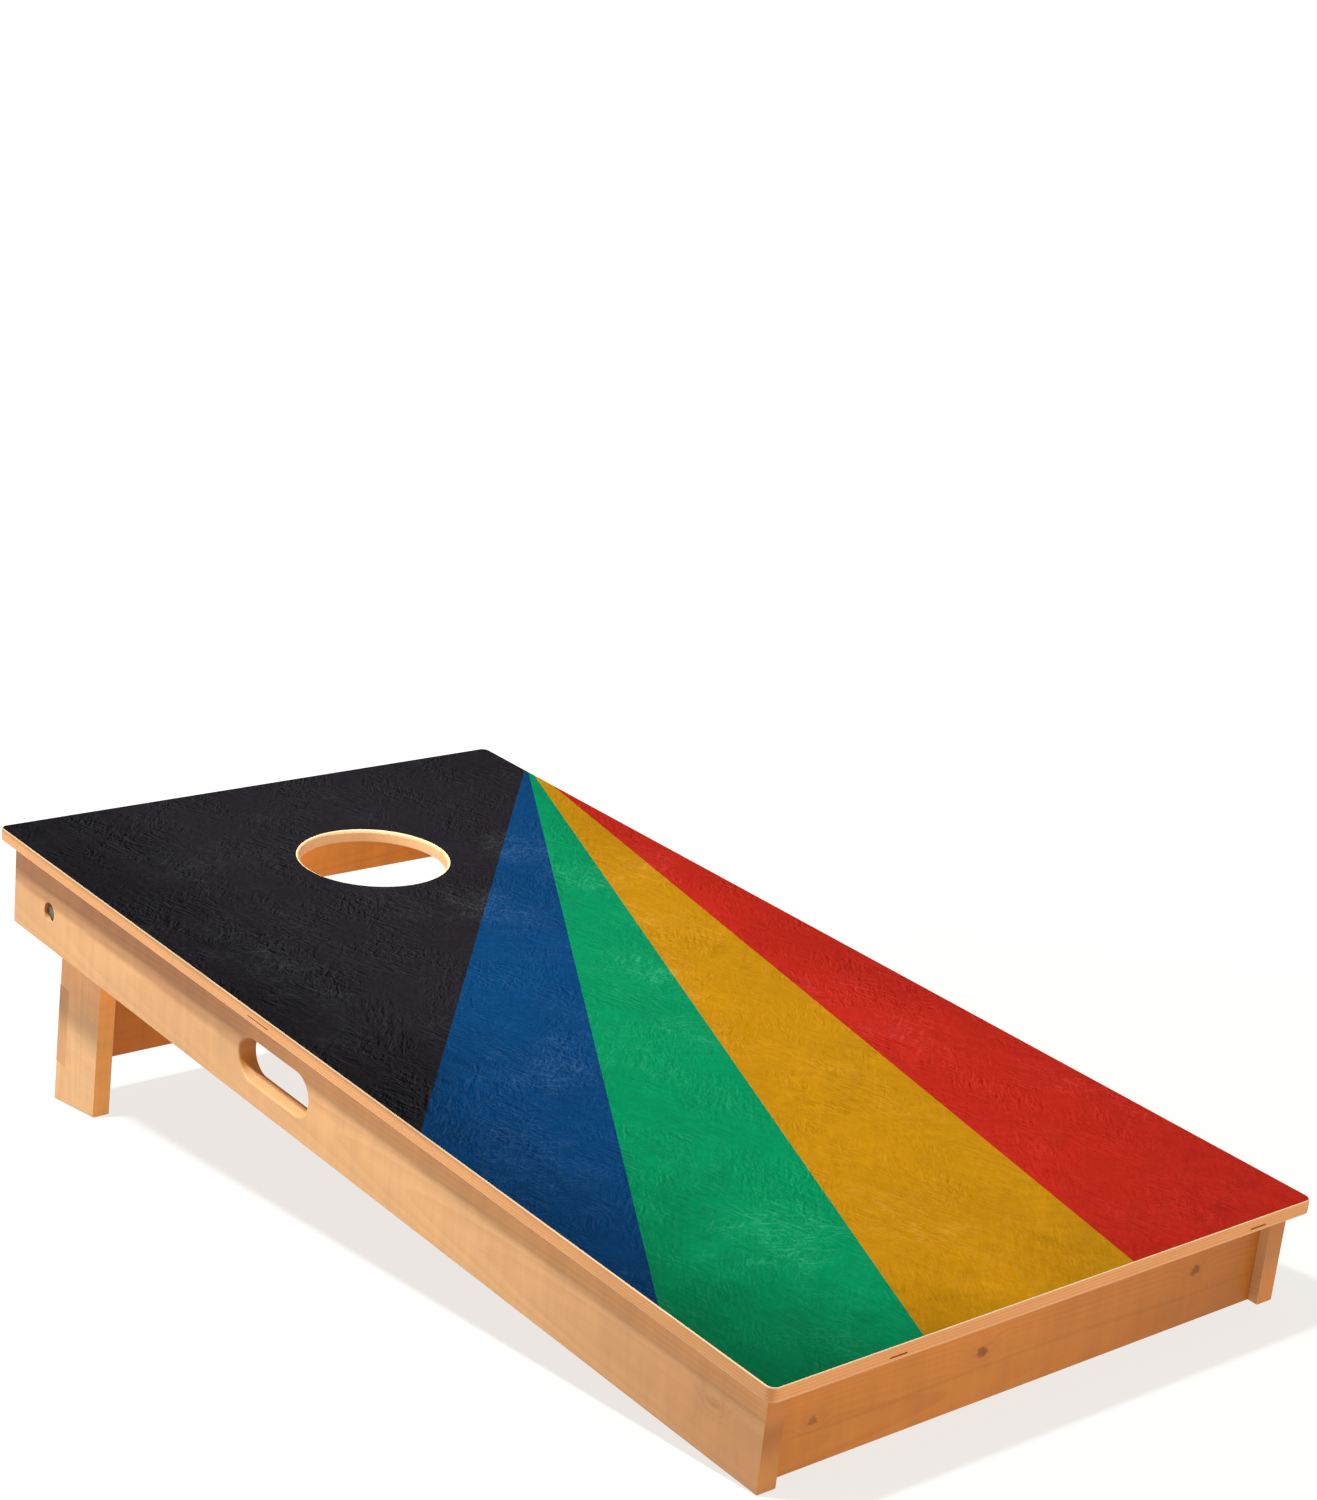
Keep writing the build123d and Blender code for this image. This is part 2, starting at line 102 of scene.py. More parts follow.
class Shader:
    """One material's node tree, with a short call for each kind of node that it uses."""

    def __init__(self, name):
        self.material = bpy.data.materials.new(name)
        self.material.use_nodes = True
        self.tree = self.material.node_tree
        self.skin = self.tree.nodes["Principled BSDF"]
        place = self.add("ShaderNodeTexCoord")
        self.point = place.outputs["Object"]
        self.normal = place.outputs["Normal"]

    def add(self, kind, **settings):
        """A new node with its settings."""
        node = self.tree.nodes.new(kind)
        for name, value in settings.items():
            setattr(node, name, value)
        return node

    def feed(self, socket, value):
        """Links a socket to another one, or gives it a constant."""
        if isinstance(value, bpy.types.NodeSocket):
            self.tree.links.new(value, socket)
        else:
            socket.default_value = value

    def math(self, operation, *values):
        """Result of one operation on numbers."""
        node = self.add("ShaderNodeMath", operation=operation)
        for socket, value in zip(node.inputs, values):
            self.feed(socket, value)
        return node.outputs[0]

    def times(self, first, second):
        return self.math("MULTIPLY", first, second)

    def plus(self, base, field, amount):
        """base + field * amount."""
        return self.math("MULTIPLY_ADD", field, amount, base)

    def swing(self, base, field, amount):
        """base, moved up and down by a field of 0 to 1."""
        return self.plus(base, self.math("SUBTRACT", field, 0.5), amount)

    def vector(self, operation, *values):
        """Result of one operation on vectors."""
        node = self.add("ShaderNodeVectorMath", operation=operation)
        for socket, value in zip(node.inputs, values):
            self.feed(socket, value)
        return node.outputs["Value" if operation in ("DOT_PRODUCT", "LENGTH") else "Vector"]

    def split(self, vector):
        """The x, y and z of a vector."""
        node = self.add("ShaderNodeSeparateXYZ")
        self.feed(node.inputs[0], vector)
        return node.outputs

    def aligned(self, along, across, start):
        """The surface point measured from start: x along, y across and z at right angles."""
        turn = Matrix((along, across, along.cross(across)))
        node = self.add("ShaderNodeMapping")
        self.feed(node.inputs["Vector"], self.point)
        node.inputs["Rotation"].default_value = turn.to_euler()
        node.inputs["Location"].default_value = -(turn @ start)
        return node.outputs[0]

    def turned(self, vector, degrees):
        """A vector turned about the third axis."""
        node = self.add("ShaderNodeMapping")
        self.feed(node.inputs["Vector"], vector)
        node.inputs["Rotation"].default_value = (0, 0, math.radians(degrees))
        return node.outputs[0]

    def facing(self, direction):
        """How squarely the surface faces along a direction, either way: 0 to 1."""
        return self.math("ABSOLUTE", self.vector("DOT_PRODUCT", self.normal, direction))

    def noise(self, vector, waves, detail=2.0, roughness=0.5, shift=0.0, distortion=0.0):
        """Noise of 0 to 1 with its own number of waves a metre along each axis."""
        stretched = self.vector("MULTIPLY_ADD", vector, waves, (shift, shift, shift))
        node = self.add("ShaderNodeTexNoise")
        self.feed(node.inputs["Vector"], stretched)
        node.inputs["Scale"].default_value = 1.0
        node.inputs["Detail"].default_value = detail
        node.inputs["Roughness"].default_value = roughness
        node.inputs["Distortion"].default_value = distortion
        return node.outputs["Fac"]

    def ramp(self, value, low, high, to_low=0.0, to_high=1.0):
        """Smooth step from to_low at low to to_high at high."""
        node = self.add("ShaderNodeMapRange", interpolation_type="SMOOTHSTEP")
        for socket, number in zip(node.inputs, (value, low, high, to_low, to_high)):
            self.feed(socket, number)
        return node.outputs[0]

    def blend(self, share, first, second):
        """Mix of two numbers."""
        node = self.add("ShaderNodeMix")
        self.feed(node.inputs["Factor"], share)
        for place, value in zip(MIX_NUMBERS, (first, second)):
            self.feed(node.inputs[place], value)
        return node.outputs[0]

    def mix(self, share, first, second):
        """Mix of two colours."""
        node = self.add("ShaderNodeMix", data_type="RGBA")
        self.feed(node.inputs["Factor"], share)
        for place, value in zip(MIX_COLOURS, (first, second)):
            self.feed(node.inputs[place], value)
        return node.outputs[MIX_COLOUR_OUT]

    def mix_tint(self, share, colour, tint):
        """Mix of a colour and its tinted self."""
        return self.mix(share, colour, self.vector("MULTIPLY", colour, tint))

    def shade(self, colour, strength):
        """Colour times a number that varies over the surface."""
        node = self.add("ShaderNodeVectorMath", operation="SCALE")
        self.feed(node.inputs[0], colour)
        self.feed(node.inputs["Scale"], strength)
        return node.outputs[0]

    def bump(self, height, distance, strength):
        """Relief from a height field: the depth it stands for and how strongly it shows."""
        node = self.add("ShaderNodeBump")
        node.inputs["Strength"].default_value = strength
        node.inputs["Distance"].default_value = distance
        self.feed(node.inputs["Height"], height)
        self.feed(self.skin.inputs["Normal"], node.outputs[0])

    def finish(self, colour, roughness, **constants):
        """Feeds the surface: its colour, roughness and any socket that stays constant."""
        self.feed(self.skin.inputs["Base Color"], colour)
        self.feed(self.skin.inputs["Roughness"], roughness)
        for name, value in constants.items():
            self.skin.inputs[name.replace("_", " ")].default_value = value
        return self.material


# ---------------------------------------------------------------- wood

# Waves a metre of each pattern, along, across and through the board.
TRUNK_WAVES = (1.6, 7.0, 7.0)
FIBRE_WAVES = (9, 650, 650)
RESIN_WAVES = (45, 1500, 1500)
FIGURE_WAVES = (58, 9, 9)
CLOUD_WAVES = (4, 16, 16)
KNOT_WAVES = (260, 420, 260)

# Growth rings: their width, the trunk's taper, and how far the trunk and knots bend them.
RING_WIDTH = 2.6 * MM
TRUNK_TAPER = 0.02
TRUNK_BEND = 9 * MM
KNOT_BEND = 5 * MM

# How much each pattern brightens or darkens the wood.
FIBRE_AMOUNT = 0.16
FIGURE_AMOUNT = 0.32
CLOUD_AMOUNT = 0.3
RESIN_AMOUNT = -0.07
HALO_AMOUNT = -0.07
STREAK_AMOUNT = -0.08
STREAK_DRIFT = 30 * MM
STREAK_EDGES = (0.3 * MM, 2.6 * MM)

# Colours of late wood, knots and plain end grain, as shares of the board's own tone.
LATE_TINT = (0.84, 0.72, 0.56, 1.0)
KNOT_TINT = (0.36, 0.29, 0.24, 1.0)
END_TINT = (0.97, 0.7, 0.44, 1.0)

# How squarely a face looks in a direction before it counts as facing that way.
FACING_EDGES = (0.55, 0.9)
FRONT_EDGES = (0.5, 0.9)

# Each growth ring darkens, then ends. The palest ring, and how strongly rings show on
# faces and on end grain.
RING_DARKENS = (0.2, 0.9)
RING_ENDS = (0.93, 1.0, 1.0, 0.0)
PALEST_RING = 0.25
RINGS_SHOW = (0.42, 0.95)

# Seeds that set the patterns of one board apart, and where resin shows.
RESIN_SHIFT = 3
FIGURE_SHIFT = 7
CLOUD_SHIFT = 11
RESIN_EDGES = (0.62, 0.72)

KNOT_RAG = 2.4
KNOT_STRETCH = 0.7
KNOT_CORE = (1.8, 2.5)
KNOT_HALO = (1.6, 6.0)
END_SHARE = 0.85

# Relief: the height of late wood and knots beside the fibres', then depth and strength.
LATE_RISE = 0.5
KNOT_RISE = -0.6
WOOD_BUMP = (0.12 * MM, 0.35)
WOOD_ROUGHNESS = 0.44
FIBRE_ROUGHNESS = 0.16
SURFACE_SHEEN = 0.3

# The start and the full part of a fade that covers the whole board.
EVERYWHERE = (-1.0, -0.5)


def knot_marks(shader, log, knots):
    """(dark core, wide halo) of small knots, each (x, y, radius, darkness) on the board."""
    core, halo = 0.0, 0.0
    for x, y, radius, darkness in knots:
        offset = shader.vector("SUBTRACT", log, (x, y, 0.0))
        shaped = shader.vector("MULTIPLY", offset, (KNOT_STRETCH / radius, 1 / radius, 0.0))
        ragged = shader.noise(log, KNOT_WAVES, detail=3.0, roughness=0.6, shift=x)
        away = shader.plus(shader.vector("LENGTH", shaped), ragged, KNOT_RAG)
        core = shader.math("MAXIMUM", core, shader.ramp(away, *KNOT_CORE, darkness, 0.0))
        halo = shader.math("MAXIMUM", halo, shader.ramp(away, *KNOT_HALO, 1.0, 0.0))
    return core, halo


def late_wood(shader, log, pith, wave, halo):
    """The dark part of each growth ring, 0 to 1, with some rings paler than others."""
    x, y, z = shader.split(log)
    rise = shader.plus(-pith[1], x, TRUNK_TAPER)
    across = shader.math("POWER", shader.math("SUBTRACT", y, pith[0]), 2.0)
    through = shader.math("POWER", shader.math("ADD", z, rise), 2.0)
    radius = shader.math("SQRT", shader.math("ADD", across, through))
    radius = shader.plus(radius, wave, TRUNK_BEND)
    radius = shader.plus(radius, halo, KNOT_BEND)
    rings = shader.math("DIVIDE", radius, RING_WIDTH)
    ring = shader.math("FRACT", rings)
    late = shader.times(shader.ramp(ring, *RING_DARKENS), shader.ramp(ring, *RING_ENDS))
    uneven = shader.add("ShaderNodeTexWhiteNoise", noise_dimensions="1D")
    shader.feed(uneven.inputs["W"], shader.math("FLOOR", rings))
    return shader.times(late, shader.ramp(uneven.outputs["Value"], 0.0, 1.0, PALEST_RING, 1.0))


def wood_strength(shader, log, seed, fibre, wave, halo, streak):
    """Brightness of the wood, about 1: fibres, cross figure, clouds, resin and a streak."""
    resin = shader.noise(log, RESIN_WAVES, shift=seed + RESIN_SHIFT)
    resin = shader.ramp(resin, *RESIN_EDGES)
    figure = shader.noise(
        log, FIGURE_WAVES, detail=3.0, roughness=0.6, shift=seed + FIGURE_SHIFT
    )
    cloud = shader.noise(log, CLOUD_WAVES, shift=seed + CLOUD_SHIFT)
    strength = shader.swing(1.0, fibre, FIBRE_AMOUNT)
    strength = shader.swing(strength, figure, FIGURE_AMOUNT)
    strength = shader.swing(strength, cloud, CLOUD_AMOUNT)
    strength = shader.plus(strength, resin, RESIN_AMOUNT)
    strength = shader.plus(strength, halo, HALO_AMOUNT)
    if streak is not None:
        height = shader.split(log)[1]
        away = shader.math("SUBTRACT", height, shader.swing(streak, wave, STREAK_DRIFT))
        line = shader.ramp(shader.math("ABSOLUTE", away), *STREAK_EDGES, STREAK_AMOUNT, 0.0)
        strength = shader.math("ADD", strength, line)
    return strength


def wood(
    name, tone, along, across, start, pith, seed, knots=(), streak=None, fades=(),
    edge_tone=None, end_tone=None, front_painted_light=None,
):
    """Dressed softwood, cut from a log whose growth rings run round a pith line.

    Faces, edges and ends all come from one solid pattern, so they agree where they meet.
    along and across are the board's directions and start its corner. pith is the ring
    centre's place across and through the board. streak is the height of one dark growth
    line. Each of fades is a part with its own tint: the start and the full part of it
    along the board, the same two across it, how strong it is, and the tint. On the side
    rails and the left leg these tints are painted shade and painted light. edge_tone
    and end_tone are the colours of the board's narrow edges and of its end grain.
    front_painted_light brightens the face towards the cornhole board's front: painted light.
    """
    shader = Shader(name)
    log = shader.aligned(along, across, start)
    core, halo = knot_marks(shader, log, knots)
    wave = shader.noise(log, TRUNK_WAVES, shift=seed)
    late = late_wood(shader, log, pith, wave, halo)
    fibre = shader.noise(log, FIBRE_WAVES, detail=3.0, roughness=0.6, shift=seed)
    end = shader.ramp(shader.facing(along), *FACING_EDGES)

    early = srgb(*tone)
    cut = srgb(*end_tone) if end_tone else tinted(early, END_TINT)
    grain = shader.times(late, shader.ramp(end, 0.0, 1.0, *RINGS_SHOW))
    colour = shader.mix(grain, early, tinted(early, LATE_TINT))
    if edge_tone:
        edge = shader.ramp(shader.facing(across), *FACING_EDGES)
        colour = shader.mix(edge, colour, srgb(*edge_tone))
    colour = shader.mix(shader.times(end, END_SHARE), colour, cut)
    x, y, _ = shader.split(log)
    # Each fade tints a part of the board. On the side rails and the left leg the tints are painted shade and
    # painted light.
    for lengthwise, crosswise, share, tint in fades:
        part = shader.times(shader.ramp(x, *lengthwise), shader.ramp(y, *crosswise, 0.0, share))
        colour = shader.mix_tint(part, colour, tint)
    # Painted light on the face towards the board's front.
    if front_painted_light:
        front = shader.vector("DOT_PRODUCT", shader.normal, -BOARD_BACK)
        colour = shader.mix_tint(shader.ramp(front, *FRONT_EDGES), colour, front_painted_light)
    colour = shader.mix(core, colour, tinted(early, KNOT_TINT))
    colour = shader.shade(colour, wood_strength(shader, log, seed, fibre, wave, halo, streak))

    height = shader.plus(shader.plus(fibre, late, LATE_RISE), core, KNOT_RISE)
    shader.bump(height, *WOOD_BUMP)
    roughness = shader.plus(WOOD_ROUGHNESS, fibre, FIBRE_ROUGHNESS)
    return shader.finish(colour, roughness, Specular_IOR_Level=SURFACE_SHEEN)


# ---------------------------------------------------------------- plywood

PLY = DECK_THICKNESS / 9
PLY_PALE = srgb(208, 152, 98)
PLY_DEEP = srgb(204, 136, 78)
PLY_DARK = srgb(150, 92, 46)
PLY_CREAM = srgb(206, 176, 138)

# Waves a metre of the fibres in plies that run along the deck and across it.
ALONG_WAVES = (900, 14, 900)
ACROSS_WAVES = (14, 900, 900)
WOBBLE_WAVES = (30, 30, 200)
PLY_CLOUD_WAVES = (9, 9, 60)
VENEER_WAVES = (7.0, 0.9, 1.0)

# Veneer figure: its number of contours, how each one darkens and ends, and its strength.
VENEER_CONTOURS = 26.0
VENEER_DARKENS = (0.1, 0.9)
VENEER_ENDS = (0.92, 1.0, 1.0, 0.0)
VENEER_SHARE = 0.35

# Plies: how far they waver, where glue starts, and when a cut counts as end grain.
PLY_WAVER = 0.5 * MM
GLUE_EDGES = (0.42, 0.5)
PLY_END_EDGES = (0.2, 0.9)
FACE_EDGES = (0.5, 0.8, 1.0, 0.0)

# Shares of the deep tone in end grain and on the faces, of dark glue, and of cream.
END_DEPTH = 0.75
FACE_DEPTH = 0.5
GLUE_SHARE = 0.16
BOTTOM_SKIN_CREAM = 0.4
WALL_CREAM = 0.45

# Depth below the printed face over which a part of the deck's edge changes, low to high.
TOP_SKIN = (-0.9 * MM, -0.5 * MM)
BOTTOM_SKIN = (PLY - DECK_THICKNESS, PLY - DECK_THICKNESS + 0.4 * MM)
HOLE_RIM = (-9 * MM, -1.5 * MM)
DARK_PLIES = (-6 * MM, -0.6 * MM)

# The hole's wall lies this near the middle and this far back.
HOLE_ACROSS = (85 * MM, 100 * MM)
HOLE_ALONG = (700 * MM, 800 * MM)
AT_SIDE = (DECK_WIDTH / 2 - 6 * MM, DECK_WIDTH / 2 - 3 * MM)

# How much each pattern brightens or darkens the plywood. The sides are duller at the
# front, which is painted shade, and their upper plies are darker at the back.
PLY_FIBRE_AMOUNT = 0.26
PLY_CLOUD_AMOUNT = 0.2
WALL_AMOUNT = 0.3
SIDE_FRONT_PAINTED_SHADE = (0.0, 0.45, -0.24, 0.0)
SIDE_DARKENS = (0.1, 0.5, 0.0, -0.3)

GLUE_RISE = -0.5
PLY_BUMP = (0.15 * MM, 0.4)
PLY_ROUGHNESS = 0.5
PLY_FIBRE_ROUGHNESS = 0.15


def plies(shader, panel, z):
    """(1 in a ply that runs across the deck, the glue lines between plies)."""
    wobble = shader.noise(panel, WOBBLE_WAVES, shift=2.0)
    depth = shader.swing(shader.times(z, -1.0), wobble, PLY_WAVER)
    count = shader.math("DIVIDE", depth, PLY)
    crossed = shader.math("MODULO", shader.math("FLOOR", shader.math("MAXIMUM", count, 0.0)), 2.0)
    inside = shader.math("ABSOLUTE", shader.math("SUBTRACT", shader.math("FRACT", count), 0.5))
    return crossed, shader.ramp(inside, *GLUE_EDGES)


def ply_end_grain(shader, crossed, to_side):
    """Where a ply's fibres meet the surface."""
    lengthwise = shader.times(shader.math("SUBTRACT", 1.0, crossed), shader.facing(BOARD_BACK))
    end = shader.math("ADD", shader.times(crossed, to_side), lengthwise)
    return shader.ramp(end, *PLY_END_EDGES)


def ply_fibre(shader, panel, across):
    """Fibres that run along the deck, or across it where across is 1."""
    lengthwise = shader.noise(panel, ALONG_WAVES, detail=3.0, roughness=0.6)
    crosswise = shader.noise(panel, ACROSS_WAVES, detail=3.0, roughness=0.6, shift=5.0)
    return shader.blend(across, lengthwise, crosswise)


def veneer_figure(shader, panel, edge):
    """Contour lines of a slow field, stretched along the sheet, on its faces only."""
    field = shader.noise(panel, VENEER_WAVES, roughness=0.45, shift=9.0)
    contour = shader.math("FRACT", shader.times(field, VENEER_CONTOURS))
    veneer = shader.times(
        shader.ramp(contour, *VENEER_DARKENS), shader.ramp(contour, *VENEER_ENDS)
    )
    return shader.times(veneer, shader.ramp(edge, 0.0, 1.0, VENEER_SHARE, 0.0))


def plywood():
    """Deck panel: nine birch plies in its edges, rotary-cut veneer on its faces."""
    shader = Shader("birch_plywood")
    panel = shader.aligned(RIGHT, BOARD_BACK, DECK_FRONT - WRAP_THICKNESS * BOARD_UP)
    x, y, z = shader.split(panel)
    crossed, glue = plies(shader, panel, z)
    to_side = shader.facing(RIGHT)
    end = ply_end_grain(shader, crossed, to_side)
    edge = shader.ramp(shader.facing(BOARD_UP), *FACE_EDGES)
    fibre = ply_fibre(shader, panel, shader.times(crossed, edge))

    # The hole's wall is paler than the deck's outer edges.
    from_middle = shader.math("ABSOLUTE", x)
    wall = shader.math("MAXIMUM", edge, shader.ramp(z, *HOLE_RIM))
    wall = shader.times(wall, shader.ramp(from_middle, *HOLE_ACROSS, 1.0, 0.0))
    wall = shader.times(wall, shader.ramp(y, *HOLE_ALONG))

    # Both skins show as cream lines along the edges.
    bottom = shader.times(shader.ramp(z, *BOTTOM_SKIN, BOTTOM_SKIN_CREAM, 0.0), edge)
    skins = shader.math("MAXIMUM", shader.ramp(z, *TOP_SKIN), bottom)
    skins = shader.math("MAXIMUM", skins, shader.times(wall, WALL_CREAM))

    colour = shader.mix(shader.times(end, shader.times(edge, END_DEPTH)), PLY_PALE, PLY_DEEP)
    colour = shader.mix(shader.ramp(edge, 0.0, 1.0, FACE_DEPTH, 0.0), colour, PLY_DEEP)
    colour = shader.mix(veneer_figure(shader, panel, edge), colour, PLY_DARK)
    colour = shader.mix(shader.times(glue, shader.times(edge, GLUE_SHARE)), colour, PLY_DARK)
    colour = shader.mix(skins, colour, PLY_CREAM)

    cloud = shader.noise(panel, PLY_CLOUD_WAVES, shift=13.0)
    strength = shader.swing(1.0, fibre, PLY_FIBRE_AMOUNT)
    strength = shader.swing(strength, cloud, PLY_CLOUD_AMOUNT)
    # Painted shade: the deck's sides darken towards the front.
    strength = shader.plus(strength, shader.ramp(y, *SIDE_FRONT_PAINTED_SHADE), to_side)
    dark = shader.times(shader.ramp(z, *DARK_PLIES), shader.ramp(from_middle, *AT_SIDE))
    strength = shader.plus(strength, shader.ramp(y, *SIDE_DARKENS), dark)
    strength = shader.plus(strength, wall, WALL_AMOUNT)

    shader.bump(shader.plus(fibre, glue, GLUE_RISE), *PLY_BUMP)
    colour = shader.shade(colour, strength)
    roughness = shader.plus(PLY_ROUGHNESS, fibre, PLY_FIBRE_ROUGHNESS)
    return shader.finish(colour, roughness, Specular_IOR_Level=SURFACE_SHEEN)


# ---------------------------------------------------------------- printed deck

# The rays meet at a point just past the right edge. Each edge between two colours is
# given by its angle at that point from the board's length, in degrees.
FAN_X = 317.5 * MM
FAN_Y = 1155.7 * MM
FAN_SPAN = 90.0
RAYS = (
    (0.0, srgb(148, 28, 17)),
    (11.46, srgb(151, 104, 7)),
    (22.07, srgb(0, 109, 67)),
    (31.18, srgb(4, 48, 86)),
    (41.21, srgb(25, 23, 26)),
)

# Directions in degrees and seeds of the brush strokes and of the finer bristle strokes,
# and the width of a bristle stroke's lit side.
STROKES = ((24.0, 1.0), (71.0, 4.0), (-38.0, 9.0))
BRISTLES = ((-104.0, 2.0), (-54.0, 7.0))
BRISTLE_EDGE = 1.5 * MM

# Waves a metre of each pattern in the print, across and along the deck or the stroke.
STROKE_PATCH_WAVES = (9, 9, 1)
BROAD_WAVES = (20, 75, 1)
FINE_WAVES = (48, 260, 1)
BRISTLE_PATCH_WAVES = (17, 11, 1)
BRISTLE_WAVES = (48, 170, 1)
WIPE_WAVES = (110, 7, 1)
PRINT_CLOUD_WAVES = (6, 5, 1)
MOTTLE_WAVES = (95, 95, 1)
TORN_WAVES = (26, 26, 1)
STRAY_WAVES = (12, 9, 1)
GRAIN_WAVES = (380, 380, 1)
CURL_WAVES = (150, 95, 1)
HAZE_WAVES = (150, 120, 1)

# Where most of the chalk lies: centre, half width, half length and weight of each patch.
CHALK_PATCHES = (
    (0.150, 0.940, 0.05, 0.07, 0.9),
    (0.040, 0.820, 0.06, 0.08, 0.9),
    (0.165, 0.850, 0.05, 0.07, 1.0),
    (0.075, 0.640, 0.06, 0.09, 1.0),
    (0.150, 0.730, 0.05, 0.06, 0.7),
    (0.030, 0.510, 0.05, 0.07, 0.8),
    (-0.130, 0.500, 0.09, 0.07, 0.8),
    (-0.245, 0.380, 0.06, 0.14, 0.6),
    (-0.235, 0.790, 0.05, 0.17, 0.55),
    (-0.165, 0.880, 0.04, 0.12, 0.35),
    (-0.140, 0.170, 0.08, 0.07, 1.0),
    (-0.020, 0.135, 0.08, 0.07, 0.5),
    (0.265, 0.850, 0.05, 0.05, 0.8),
    (0.215, 0.420, 0.06, 0.06, 0.6),
)

# Seeds that set a stroke's patches and fine marks apart from the stroke, and where each
# of them starts and is full. Broad strokes swing about their mean.
PATCH_SHIFT = 20
MARK_SHIFT = 40
BRISTLE_PATCH_SHIFT = 80
STROKE_PATCH_EDGES = (0.4, 0.58)
MARK_EDGES = (0.54, 0.68)
STROKE_MEAN = 0.46

# Where each chalk pattern starts and is full, and how ragged its patches are.
CHALK_PATCH_EDGES = (0.1, 1.0)
TORN_AMOUNT = 2.4
GRAIN_EDGES = (0.5, 0.74)
CURL_EDGES = (0.53, 0.66)
HAZE_EDGES = (0.42, 0.72)
STRAY_CHALK = (0.52, 0.75, 0.0, 0.6)

# Changes over the deck or the noise: start, end, and the amount at each.
BRISTLE_PATCHES = (0.43, 0.63, 0.12, 1.3)
RELIEF_ALONG = (0.0, 0.3, 0.45, 1.0)
WIPE_ACROSS = (-0.27, -0.05, 1.0, 0.0)
WIPE_ALONG = (0.2, 0.55, 0.25, 1.0)
BORDER_INWARD = (0.0, 0.09, 0.9, 1.0)
BORDER_LEFT = (-0.31, -0.11, 0.54, 1.0)
BORDER_CORNER = (-0.28, 0.03, 0.76, 1.0)
BORDER_RAG = 0.12

# How much each pattern brightens or darkens the ink.
PRINT_CLOUD_AMOUNT = 0.34
MOTTLE_AMOUNT = 0.32
STROKE_AMOUNT = 0.4
WIPE_AMOUNT = 1.1
RELIEF_AMOUNT = 0.8

# How much chalk each pattern leaves, and how far full chalk covers the ink.
GRAIN_CHALK = 0.75
CURL_CHALK = 0.6
MARK_CHALK = 0.9
LOOSE_GRAIN_CHALK = 0.18
CHALK_COVER = 0.3
HAZE_COVER = 0.035
MARK_COVER = 0.035

# Chalked ink is a multiple of the ink plus a little grey. Relief adds its own grey.
CHALK_GAIN = (1.9, 1.9, 1.9)
CHALK_GREY = (0.05, 0.055, 0.06)
RELIEF_GREY = 0.026
DARKEST_INK = (0.0005, 0.0005, 0.0005)

MOTTLE_RISE = 0.5
FILM_BUMP = (0.05 * MM, 0.25)
FILM_ROUGHNESS = 0.52
MOTTLE_ROUGHNESS = 0.2
FILM_SHEEN = 0.01


def ray_colours(shader, x, y):
    """The ink of the ray that a point of the deck lies in."""
    sideways = shader.math("SUBTRACT", FAN_X, x)
    forward = shader.math("SUBTRACT", FAN_Y, y)
    angle = shader.math("DEGREES", shader.math("ARCTAN2", sideways, forward))
    pick = shader.add("ShaderNodeValToRGB")
    shader.feed(pick.inputs[0], shader.math("DIVIDE", angle, FAN_SPAN))
    stops = pick.color_ramp
    stops.interpolation = "CONSTANT"
    first, last = stops.elements
    first.color = RAYS[0][1]
    last.position = RAYS[-1][0] / FAN_SPAN
    last.color = RAYS[-1][1]
    for degrees, colour in RAYS[1:-1]:
        stops.elements.new(degrees / FAN_SPAN).color = colour
    return pick.outputs["Color"]


def brush_strokes(shader, sheet):
    """(broad strokes, about zero, and fine marks, 0 to 1) in patches of each direction."""
    strokes, marks = 0.0, 0.0
    for degrees, seed in STROKES:
        brush = shader.turned(sheet, degrees)
        patch = shader.noise(sheet, STROKE_PATCH_WAVES, shift=seed + PATCH_SHIFT)
        patch = shader.ramp(patch, *STROKE_PATCH_EDGES)
        broad = shader.noise(
            brush, BROAD_WAVES, detail=5.0, roughness=0.6, shift=seed, distortion=0.5
        )
        fine = shader.noise(
            brush, FINE_WAVES, detail=3.0, shift=seed + MARK_SHIFT, distortion=0.5
        )
        smear = shader.times(patch, shader.math("SUBTRACT", broad, STROKE_MEAN))
        strokes = shader.math("ADD", strokes, smear)
        mark = shader.times(patch, shader.ramp(fine, *MARK_EDGES))
        marks = shader.math("MAXIMUM", marks, mark)
    return strokes, marks


def bristle_relief(shader, sheet, y):
    """Light and dark sides of bristle strokes, about zero, in ragged patches."""
    relief = 0.0
    for degrees, seed in BRISTLES:
        brush = shader.turned(sheet, degrees)
        beside = shader.vector("ADD", brush, (0.0, BRISTLE_EDGE, 0.0))
        patch = shader.noise(
            sheet, BRISTLE_PATCH_WAVES, detail=4.0, roughness=0.65,
            shift=seed + BRISTLE_PATCH_SHIFT,
        )
        sides = [
            shader.noise(
                place, BRISTLE_WAVES, detail=4.0, roughness=0.66, shift=seed, distortion=1.0
            )
            for place in (brush, beside)
        ]
        patch = shader.ramp(patch, *BRISTLE_PATCHES)
        relief = shader.plus(relief, shader.math("SUBTRACT", *sides), patch)
    return shader.times(relief, shader.ramp(y, *RELIEF_ALONG))


def wiped_streaks(shader, sheet, x, y):
    """Long wipes on the left of the deck, about zero, weaker towards its front."""
    wiped = shader.noise(
        sheet, WIPE_WAVES, detail=4.0, roughness=0.6, shift=61.0, distortion=0.3
    )
    wiped = shader.math("SUBTRACT", wiped, 0.5)
    wiped = shader.times(wiped, shader.ramp(x, *WIPE_ACROSS))
    return shader.times(wiped, shader.ramp(y, *WIPE_ALONG))


